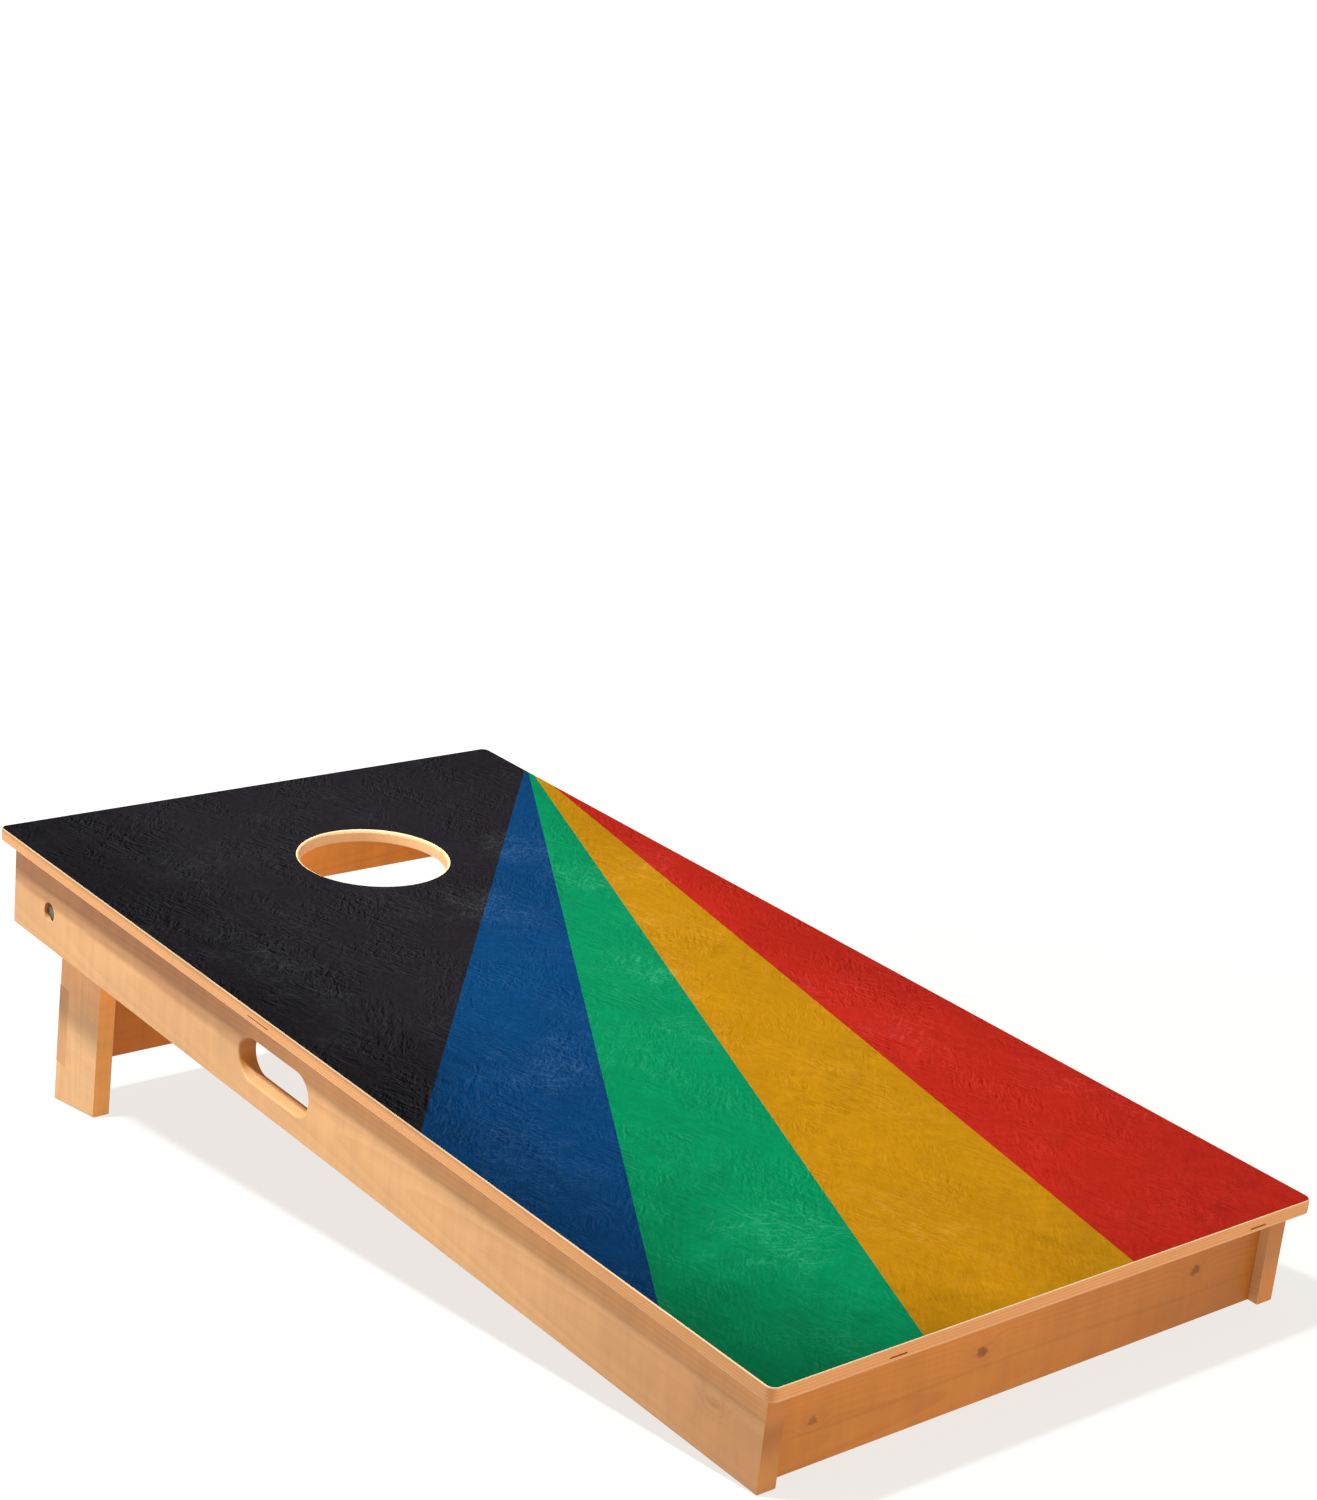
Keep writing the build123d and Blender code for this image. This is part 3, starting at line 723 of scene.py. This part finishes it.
def chalk_clusters(shader, sheet):
    """How much chalk gathers at a point: torn patches and a few strays, 0 to 1."""
    torn = shader.noise(sheet, TORN_WAVES, detail=4.0, roughness=0.65, shift=29.0)
    torn = shader.times(shader.math("SUBTRACT", torn, 0.5), TORN_AMOUNT)
    cluster = 0.0
    for x, y, half_width, half_length, weight in CHALK_PATCHES:
        offset = shader.vector("SUBTRACT", sheet, (x, y, 0.0))
        offset = shader.vector("MULTIPLY", offset, (1 / half_width, 1 / half_length, 0.0))
        away = shader.math("ADD", shader.vector("LENGTH", offset), torn)
        patch = shader.ramp(away, *CHALK_PATCH_EDGES, weight, 0.0)
        cluster = shader.math("MAXIMUM", cluster, patch)
    stray = shader.noise(sheet, STRAY_WAVES, detail=3.0, roughness=0.6, shift=43.0)
    return shader.math("MAXIMUM", cluster, shader.ramp(stray, *STRAY_CHALK))


def chalk_marks(shader, sheet, marks):
    """Grains, short curls and stroke marks of chalk, mostly where chalk gathers."""
    grains = shader.noise(sheet, GRAIN_WAVES, detail=3.0, roughness=0.7, shift=47.0)
    grains = shader.ramp(grains, *GRAIN_EDGES)
    curls = shader.noise(sheet, CURL_WAVES, distortion=2.4, shift=53.0)
    curls = shader.ramp(curls, *CURL_EDGES)
    chalk = shader.plus(shader.times(grains, GRAIN_CHALK), curls, CURL_CHALK)
    chalk = shader.plus(chalk, marks, MARK_CHALK)
    chalk = shader.times(chalk_clusters(shader, sheet), chalk)
    return shader.plus(chalk, grains, LOOSE_GRAIN_CHALK)


def border_depth(shader, x, y, cloud):
    """Darker towards the deck's border, most of all on the left and in one corner."""
    ragged = shader.times(shader.math("SUBTRACT", cloud, 0.5), BORDER_RAG)
    from_right = shader.math("SUBTRACT", DECK_WIDTH / 2, x)
    middle = shader.math("ABSOLUTE", shader.math("SUBTRACT", y, DECK_LENGTH / 2))
    from_end = shader.math("SUBTRACT", DECK_LENGTH / 2, middle)
    inward = shader.math("ADD", shader.math("MINIMUM", from_right, from_end), ragged)
    border = shader.ramp(inward, *BORDER_INWARD)
    leftward = shader.ramp(shader.math("ADD", x, ragged), *BORDER_LEFT)
    corner = shader.math("ADD", shader.math("ADD", x, y), ragged)
    corner = shader.ramp(corner, *BORDER_CORNER)
    return shader.times(border, shader.times(leftward, corner))


def printed_film():
    """Matt printed film: four colour rays on charcoal, brushed and chalky all over."""
    shader = Shader("printed_film")
    sheet = shader.aligned(RIGHT, BOARD_BACK, DECK_FRONT)
    x, y, _ = shader.split(sheet)
    ink = ray_colours(shader, x, y)
    strokes, marks = brush_strokes(shader, sheet)
    relief = bristle_relief(shader, sheet, y)
    cloud = shader.noise(sheet, PRINT_CLOUD_WAVES, detail=4.0, roughness=0.55, shift=31.0)
    mottle = shader.noise(sheet, MOTTLE_WAVES, detail=5.0, roughness=0.72, shift=37.0)
    chalk = chalk_marks(shader, sheet, marks)
    border = border_depth(shader, x, y, cloud)

    strength = shader.swing(1.0, cloud, PRINT_CLOUD_AMOUNT)
    strength = shader.swing(strength, mottle, MOTTLE_AMOUNT)
    strength = shader.plus(strength, strokes, STROKE_AMOUNT)
    strength = shader.plus(strength, wiped_streaks(shader, sheet, x, y), WIPE_AMOUNT)
    strength = shader.plus(strength, relief, RELIEF_AMOUNT)
    strength = shader.times(strength, border)

    haze = shader.noise(
        sheet, HAZE_WAVES, detail=4.0, roughness=0.75, shift=71.0, distortion=1.2
    )
    haze = shader.ramp(haze, *HAZE_EDGES)
    cover = shader.plus(shader.times(marks, MARK_COVER), haze, HAZE_COVER)
    cover = shader.times(shader.plus(cover, chalk, CHALK_COVER), border)
    chalked = shader.vector("MULTIPLY_ADD", ink, CHALK_GAIN, CHALK_GREY)
    colour = shader.mix(cover, shader.shade(ink, strength), chalked)
    colour = shader.vector("ADD", colour, shader.times(relief, RELIEF_GREY))
    colour = shader.vector("MAXIMUM", colour, DARKEST_INK)

    height = shader.plus(shader.math("ADD", marks, chalk), mottle, MOTTLE_RISE)
    shader.bump(height, *FILM_BUMP)
    roughness = shader.plus(FILM_ROUGHNESS, mottle, MOTTLE_ROUGHNESS)
    return shader.finish(colour, roughness, Specular_IOR_Level=FILM_SHEEN)


# ---------------------------------------------------------------- metal and nylon

PLATING_WAVES = (120, 120, 120)
RUB_WAVES = (400, 400, 400)
NYLON_WAVES = (500, 500, 500)
CRYSTALS = 900.0
PLATING_EDGES = (0.35, 0.65)
RUB_EDGES = (0.5, 0.7)
CRYSTAL_SHADE = 0.94
CRYSTAL_AMOUNT = 0.12
METAL_BUMP = (0.02 * MM, 0.4)
RUB_ROUGHNESS = 0.18

# A plating's clean tone, its worn tone and its roughness.
ZINC_PLATE = ((82, 74, 66), (116, 104, 90), 0.36)
SCREW_PLATE = ((186, 178, 150), (160, 160, 158), 0.34)

NYLON_PALE = srgb(224, 222, 210)
NYLON_DEEP = srgb(196, 196, 188)
NYLON_BUMP = (0.03 * MM, 0.3)
NYLON_ROUGHNESS = 0.32
NYLON_CLOUD_ROUGHNESS = 0.2
NYLON_MILKINESS = 0.15


def metal(name, tone, worn, roughness):
    """Zinc-plated steel with cloudy plating, fine crystals and a few rubbed spots."""
    shader = Shader(name)
    cloud = shader.noise(shader.point, PLATING_WAVES, detail=3.0)
    cloud = shader.ramp(cloud, *PLATING_EDGES)
    voronoi = shader.add("ShaderNodeTexVoronoi", feature="F1")
    voronoi.inputs["Scale"].default_value = CRYSTALS
    shader.feed(voronoi.inputs["Vector"], shader.point)
    crystal = voronoi.outputs["Distance"]
    rub = shader.noise(shader.point, RUB_WAVES, detail=4.0, shift=8.0)
    rub = shader.ramp(rub, *RUB_EDGES)
    colour = shader.mix(cloud, srgb(*tone), srgb(*worn))
    colour = shader.shade(colour, shader.plus(CRYSTAL_SHADE, crystal, CRYSTAL_AMOUNT))
    shader.bump(shader.math("ADD", crystal, rub), *METAL_BUMP)
    return shader.finish(colour, shader.plus(roughness, rub, RUB_ROUGHNESS), Metallic=1.0)


def nylon():
    """Milky nylon of the lock nuts' rings."""
    shader = Shader("nylon")
    cloud = shader.noise(shader.point, NYLON_WAVES, detail=3.0)
    colour = shader.mix(cloud, NYLON_PALE, NYLON_DEEP)
    shader.bump(cloud, *NYLON_BUMP)
    roughness = shader.plus(NYLON_ROUGHNESS, cloud, NYLON_CLOUD_ROUGHNESS)
    return shader.finish(colour, roughness, Subsurface_Weight=NYLON_MILKINESS)


# ---------------------------------------------------------------- pivot bolts

# M8 hexagon head: the width over its flats, and its chamfer's slope and share of the
# flats at the top.
HEX_FLATS = 13.0 * MM
HEX_CHAMFER = math.tan(math.radians(30))
HEX_TOP = 0.96
HEAD_HEIGHT = 5.3 * MM
HEAD_STEPS = 8

# Rolled thread. A higher root value widens the groove's floor and a higher flank value
# steepens its sides.
SHANK_RADIUS = 4.0 * MM
THREAD_PITCH = 1.25 * MM
THREAD_DEPTH = 0.61 * THREAD_PITCH
THREAD_LENGTH = 22 * MM
THREAD_ROOT = 1.25
THREAD_FLANK = 3.0
FADING_TURNS = 2
TIP_CHAMFER = 0.8 * MM

# Steps round the bolt and in each turn of its thread, and the least angle of a sharp edge.
ROUND_STEPS = 72
THREAD_STEPS = 10
SHARP_ANGLE = math.radians(32)


def head_radius(turn, from_top):
    """Radius of a chamfered hexagon at a turn in radians and a distance below its top."""
    sixth = math.pi / 3
    flat = HEX_FLATS / 2 / math.cos(turn % sixth - sixth / 2)
    cone = HEX_FLATS / 2 * HEX_TOP + from_top / HEX_CHAMFER
    return min(flat, cone)


def thread_radius(turn, to_tip):
    """Radius of the rolled thread at a turn in radians and a distance from the bolt's tip."""
    phase = (to_tip / THREAD_PITCH + turn / math.tau) % 1.0
    groove = min(1.0, max(0.0, THREAD_ROOT - THREAD_FLANK * abs(phase - 0.5)))
    fading = min(1.0, (THREAD_LENGTH - to_tip) / (FADING_TURNS * THREAD_PITCH))
    radius = SHANK_RADIUS - THREAD_DEPTH * groove * max(0.0, fading)
    return min(radius, SHANK_RADIUS - TIP_CHAMFER + to_tip)


def bolt_rings(length):
    """(distance from the top, radii) of each ring, from the top of the head to the tip."""
    turns = [math.tau * step / ROUND_STEPS for step in range(ROUND_STEPS)]
    rings = []
    for step in range(HEAD_STEPS + 1):
        depth = HEAD_HEIGHT * (step / HEAD_STEPS) ** 2
        rings.append((depth, [head_radius(turn, depth) for turn in turns]))
    for depth in (HEAD_HEIGHT, length - THREAD_LENGTH):
        rings.append((depth, [SHANK_RADIUS] * ROUND_STEPS))
    count = round(THREAD_LENGTH / THREAD_PITCH) * THREAD_STEPS
    for step in range(1, count + 1):
        to_tip = THREAD_LENGTH * (1 - step / count)
        rings.append((length - to_tip, [thread_radius(turn, to_tip) for turn in turns]))
    return rings


def ring_of_points(mesh, x, radii):
    """Vertices round the pivot's line at one place along it."""
    points = []
    for step, radius in enumerate(radii):
        turn = math.tau * step / ROUND_STEPS
        y = PIVOT.y + radius * math.cos(turn)
        z = PIVOT.z + radius * math.sin(turn)
        points.append(mesh.verts.new((x, y, z)))
    return points


def bolt(name, node, side):
    """Hexagon bolt with a rolled thread. side is -1 on the left and 1 on the right."""
    low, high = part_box(node)
    outer = max(abs(low.x), abs(high.x))
    mesh = bmesh.new()
    loops = [
        ring_of_points(mesh, side * (outer - depth), radii)
        for depth, radii in bolt_rings(high.x - low.x)
    ]
    for first, second in zip(loops, loops[1:]):
        for step in range(ROUND_STEPS):
            after = (step + 1) % ROUND_STEPS
            mesh.faces.new((first[step], first[after], second[after], second[step]))
    mesh.faces.new(loops[0])
    mesh.faces.new(loops[-1])
    bmesh.ops.recalc_face_normals(mesh, faces=mesh.faces)
    piece = link_mesh(name, mesh)
    piece.data.set_sharp_from_angle(angle=SHARP_ANGLE)
    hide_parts(node)
    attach(piece, "board")
    return piece


def link_mesh(name, mesh):
    """Object from a bmesh, smooth-shaded and linked to the scene."""
    data = bpy.data.meshes.new(name)
    mesh.to_mesh(data)
    mesh.free()
    data.shade_smooth()
    piece = bpy.data.objects.new(name, data)
    bpy.context.scene.collection.objects.link(piece)
    return piece


# ---------------------------------------------------------------- dressing the nodes

# Display colours of the boards' faces and edges. The cross boards' orange and the brace's
# brown are darker, warmer copies of the pale wood: painted shade.
PALE = (201, 152, 102)
LIGHT = (208, 160, 110)
SHADED_ORANGE = (183, 117, 42)
SHADED_BROWN = (196, 112, 26)
# The legs' edge colour is partly edge grain and partly painted warm shade of their front edges.
LEG_EDGE = (228, 156, 79)

# Tints of parts of a board, as shares of its colour. On the left side rail the dull tint is
# painted shade, and the warm one warms its painted shadow band. The leg's tint and the back
# rail's bright tint are painted light. The end tints paint shade at the top of each side
# rail's front end and light at its bottom.
DULL = (0.66, 0.56, 0.5)
LEG_TOP_PAINTED_LIGHT = (1.24, 1.1, 1.0)
PAINTED_BAND_WARMTH = (1.12, 1.0, 0.85)
FRONT_FACE_PAINTED_LIGHT = (1.82, 1.82, 1.9)
LEFT_END_PAINTED_SHADE = (0.7, 0.67, 0.58)
LEFT_END_PAINTED_LIGHT = (1.28, 1.5, 1.6)
RIGHT_END_PAINTED_SHADE = (0.84, 0.8, 0.66)
RIGHT_END_PAINTED_LIGHT = (1.27, 1.22, 1.08)

# The side rails' front ends, and the heights over which they change colour: painted shade at
# the top of each front end, painted light at its bottom, and the left rail's painted shadow
# band under the deck's overhang.
RAIL_END = (15.5 * MM, 14.7 * MM)
END_TOP = (30 * MM, 80 * MM)
END_BOTTOM = (50 * MM, 10 * MM)
RAIL_SHADE = (58 * MM, 66 * MM)

# Where each wood pattern starts. Pith and knot places are measured from there.
RAIL_START = DECK_FRONT - (DECK_THICKNESS + RAIL_HEIGHT) * BOARD_UP
SIDE_RAIL = 0.29 * RIGHT
MIDDLE_BRACE = 0.6 * BOARD_BACK
BACK_RAIL = 1.17 * BOARD_BACK
BLOCKS = 1.0 * BOARD_BACK
LEG_START = PIVOT - 300 * MM * LEG_UP
LEG_SIDE = 0.24 * RIGHT


def rails():
    """The choices for the five boards of the frame."""
    lengthwise = dict(tone=PALE, along=BOARD_BACK, across=BOARD_UP)
    # The cross boards' orange tone is painted shade.
    crosswise = dict(tone=SHADED_ORANGE, along=RIGHT, across=BOARD_UP)
    return {
        "left_side_rail": dict(
            lengthwise, start=RAIL_START - SIDE_RAIL,
            pith=(0.03, -0.07), seed=1.0, knots=((72 * MM, 48 * MM, 4 * MM, 0.28),),
            fades=(
                # Painted shade: the lower part darkens towards the front, where the key light falls off.
                ((420 * MM, -50 * MM), (68 * MM, 48 * MM), 0.95, DULL),
                # Painted shadow: the deck's shadow band reaches lower towards the back.
                ((500 * MM, 920 * MM), (42 * MM, 50 * MM), 0.85, DULL),
                # Painted warmth in the shadow band under the deck's overhang.
                (EVERYWHERE, RAIL_SHADE, 1.0, PAINTED_BAND_WARMTH),
                # Painted shade at the top of the front end and painted light at its bottom.
                (RAIL_END, END_TOP, 1.0, LEFT_END_PAINTED_SHADE),
                (RAIL_END, END_BOTTOM, 1.0, LEFT_END_PAINTED_LIGHT),
            ),
            end_tone=(192, 127, 58),
        ),
        "right_side_rail": dict(
            lengthwise, start=RAIL_START + SIDE_RAIL,
            pith=(0.06, 0.08), seed=2.3, knots=((640 * MM, 22 * MM, 4 * MM, 0.7),),
            fades=(
                # Painted shade at the top of the front end and painted light at its bottom.
                (RAIL_END, END_TOP, 1.0, RIGHT_END_PAINTED_SHADE),
                (RAIL_END, END_BOTTOM, 1.0, RIGHT_END_PAINTED_LIGHT),
            ),
            end_tone=(166, 106, 48),
        ),
        "front_rail": dict(
            crosswise, start=RAIL_START, pith=(0.02, -0.09), seed=3.7, streak=31 * MM,
            knots=(
                (-234.5 * MM, 40 * MM, 3.3 * MM, 0.6),
                (-56.5 * MM, 46.4 * MM, 4.5 * MM, 0.8),
                (194 * MM, 50.8 * MM, 4.2 * MM, 0.8),
            ),
            fades=(((-100 * MM, 420 * MM), EVERYWHERE, 0.8, DULL),),
        ),
        "middle_brace": dict(
            crosswise, start=RAIL_START + MIDDLE_BRACE,
            pith=(0.05, 0.08), seed=5.1, knots=((110 * MM, 60 * MM, 4.5 * MM, 0.8),),
        ),
        "back_rail": dict(
            crosswise, start=RAIL_START + BACK_RAIL,
            pith=(0.03, -0.06), seed=6.9, knots=((-150 * MM, 30 * MM, 3 * MM, 0.7),),
            # Painted light on the shaded face towards the front.
            front_painted_light=FRONT_FACE_PAINTED_LIGHT,
        ),
    }


def blocks_and_legs():
    """The choices for the pivot blocks, the legs and their brace."""
    block = dict(tone=PALE, along=BOARD_UP, across=BOARD_BACK, start=RAIL_START + BLOCKS)
    leg = dict(tone=LIGHT, along=LEG_UP, across=LEG_BACK, edge_tone=LEG_EDGE)
    return {
        "left_pivot_block": dict(block, pith=(0.05, 0.3), seed=8.2),
        "right_pivot_block": dict(block, pith=(0.16, -0.3), seed=9.5),
        "left_leg": dict(
            leg, start=LEG_START - LEG_SIDE, pith=(0.02, -0.06), seed=10.4,
            # Painted light that lifts the side rail's shadow on the top of the leg.
            fades=(((160 * MM, 210 * MM), EVERYWHERE, 1.0, LEG_TOP_PAINTED_LIGHT),),
        ),
        "right_leg": dict(leg, start=LEG_START + LEG_SIDE, pith=(-0.01, 0.07), seed=11.8),
        "leg_brace": dict(
            # The brace's brown tone is painted shade.
            tone=SHADED_BROWN, along=RIGHT, across=LEG_UP, start=LEG_START,
            pith=(0.14, -0.05), seed=13.3, knots=((60 * MM, 150 * MM, 4 * MM, 0.7),),
            end_tone=(196, 146, 98),
        ),
    }


def dress(node, material):
    """Gives a CAD node its finished material."""
    slots = NODES[node].data.materials
    slots.clear()
    slots.append(material)


def dress_boards():
    """A wood of its own for each board, so that no two share a pattern."""
    for node, choices in {**rails(), **blocks_and_legs()}.items():
        dress(node, wood(node + "_wood", **choices))


def dress_hardware():
    """Plated bolts, washers, nuts and screws, and the nuts' nylon rings."""
    zinc = metal("zinc_plate", *ZINC_PLATE)
    screw = metal("screw_plate", *SCREW_PLATE)
    ring = nylon()
    for side, sign in (("left", -1), ("right", 1)):
        for part in ("head_washer", "leg_washer", "nut_washer", "pivot_nut"):
            dress(f"{side}_{part}", zinc)
        dress(f"{side}_nut_ring", ring)
        piece = bolt(f"{side}_threaded_bolt", f"{side}_pivot_bolt", sign)
        piece.data.materials.append(zinc)
    for group in ("deck", "front_rail", "middle_brace", "back_rail", "pivot_block", "leg_brace"):
        dress(f"{group}_screws", screw)


# ---------------------------------------------------------------- studio

FLOOR_SIZE = 60.0
FLOOR_DROP = 0.3 * MM
FLOOR_WAVES = (3, 3, 3)
FLOOR_DARK = srgb(104, 103, 102)
FLOOR_PALE = srgb(110, 109, 108)
FLOOR_ROUGHNESS = 0.8

# The floor's glow grows outwards: start, end, and the strength at each.
FLOOR_GLOW_COLOUR = (1.0, 0.98, 0.955, 1.0)
FLOOR_GLOW_GROWS = (0.4, 2.8, 0.78, 1.08)

CAMERA_PLACE = Vector((-1.5924, -2.0838, 0.9675))
CAMERA_HEADING = math.radians(38.80)
CAMERA_PITCH = math.radians(-11.50)
CAMERA_ROLL = math.radians(-0.47)
CAMERA_LENS = 69.68
FAR_CLIP = 200.0
KEY_AIM = Vector((-0.29, 0.6, 0.15))
KEY_ELEVATION = math.radians(70)
KEY_DISTANCE = 4.0
KEY_SIZE = 0.4
KEY_POWER = 320.0
KEY_COLOUR = (0.92, 0.97, 1.0)
FILL_PLACE = Vector((0.2, -3.6, 0.9))
FILL_AIM = Vector((0, 0, 0.1))
FILL_SIZE = 1.5
FILL_POWER = 36.0
FILL_COLOUR = (1.0, 0.69, 0.43)

# The room's light by its height in degrees: bright at the horizon, dim higher up.
HORIZON_HEIGHT = 12
HORIZON_COLOUR = (1.3, 1.13, 1.0, 1)
OVERHEAD_COLOUR = (0.5, 0.47, 0.44, 1)
ROOM_BANDS = ((17, 0.12), (50, 0.12), (62, 0.4))
ROOM_TINT = (1, 0.95, 0.9)


def lay_floor():
    """Wide pale floor that glows a little, as a light table does."""
    mesh = bmesh.new()
    bmesh.ops.create_grid(mesh, x_segments=2, y_segments=2, size=FLOOR_SIZE)
    floor = link_mesh("floor", mesh)
    floor.location.z = -FLOOR_DROP
    shader = Shader("pale_floor")
    cloud = shader.noise(shader.point, FLOOR_WAVES, detail=3.0)
    colour = shader.mix(cloud, FLOOR_DARK, FLOOR_PALE)
    away = shader.vector("LENGTH", shader.point)
    glow = shader.ramp(away, *FLOOR_GLOW_GROWS)
    shader.feed(shader.skin.inputs["Emission Strength"], glow)
    material = shader.finish(
        colour, FLOOR_ROUGHNESS, Emission_Color=FLOOR_GLOW_COLOUR, Specular_IOR_Level=0.0
    )
    floor.data.materials.append(material)


def hang_lamp(name, place, aim, size, power, colour):
    """Round lamp of a given size at a place, pointing at its aim."""
    light = bpy.data.lights.new(name, "AREA")
    light.shape = "DISK"
    light.size = size
    light.energy = power
    light.color = colour
    lamp = bpy.data.objects.new(name, light)
    lamp.location = place
    lamp.rotation_euler = (place - aim).to_track_quat("Z", "Y").to_euler()
    lamp.visible_camera = False
    bpy.context.scene.collection.objects.link(lamp)


def hang_lamps():
    """Cool key high on the left and warm fill in front."""
    towards = Vector((-math.cos(KEY_ELEVATION), 0, math.sin(KEY_ELEVATION)))
    key_place = KEY_AIM + KEY_DISTANCE * towards
    hang_lamp("key", key_place, KEY_AIM, KEY_SIZE, KEY_POWER, KEY_COLOUR)
    hang_lamp("fill", FILL_PLACE, FILL_AIM, FILL_SIZE, FILL_POWER, FILL_COLOUR)


def light_room():
    """A room that is bright near the horizon and dim overhead."""
    world = bpy.data.worlds.new("studio")
    bpy.context.scene.world = world
    world.use_nodes = True
    tree = world.node_tree
    place = tree.nodes.new("ShaderNodeTexCoord")
    split = tree.nodes.new("ShaderNodeSeparateXYZ")
    bands = tree.nodes.new("ShaderNodeValToRGB")
    tree.links.new(place.outputs["Generated"], split.inputs[0])
    tree.links.new(split.outputs["Z"], bands.inputs[0])
    tree.links.new(bands.outputs["Color"], tree.nodes["Background"].inputs["Color"])
    stops = bands.color_ramp.elements
    horizon, overhead = stops
    horizon.position = math.sin(math.radians(HORIZON_HEIGHT))
    horizon.color = HORIZON_COLOUR
    overhead.position = 1.0
    overhead.color = OVERHEAD_COLOUR
    for degrees, level in ROOM_BANDS:
        colour = (*(level * share for share in ROOM_TINT), 1)
        stops.new(math.sin(math.radians(degrees))).color = colour


def place_camera():
    """Camera at the viewing angle, and display colours without a film look."""
    data = bpy.data.cameras.new("camera")
    data.lens = CAMERA_LENS
    data.clip_end = FAR_CLIP
    camera = bpy.data.objects.new("camera", data)
    camera.location = CAMERA_PLACE
    turn = Matrix.Rotation(-CAMERA_HEADING, 3, "Z")
    turn = turn @ Matrix.Rotation(math.pi / 2 + CAMERA_PITCH, 3, "X")
    turn = turn @ Matrix.Rotation(CAMERA_ROLL, 3, "Z")
    camera.rotation_euler = turn.to_euler()
    bpy.context.scene.collection.objects.link(camera)
    bpy.context.scene.camera = camera
    bpy.context.scene.view_settings.view_transform = "Standard"


dress_boards()
dress("deck_panel", plywood())
dress("deck_wrap", printed_film())
dress_hardware()
lay_floor()
hang_lamps()
light_room()
place_camera()
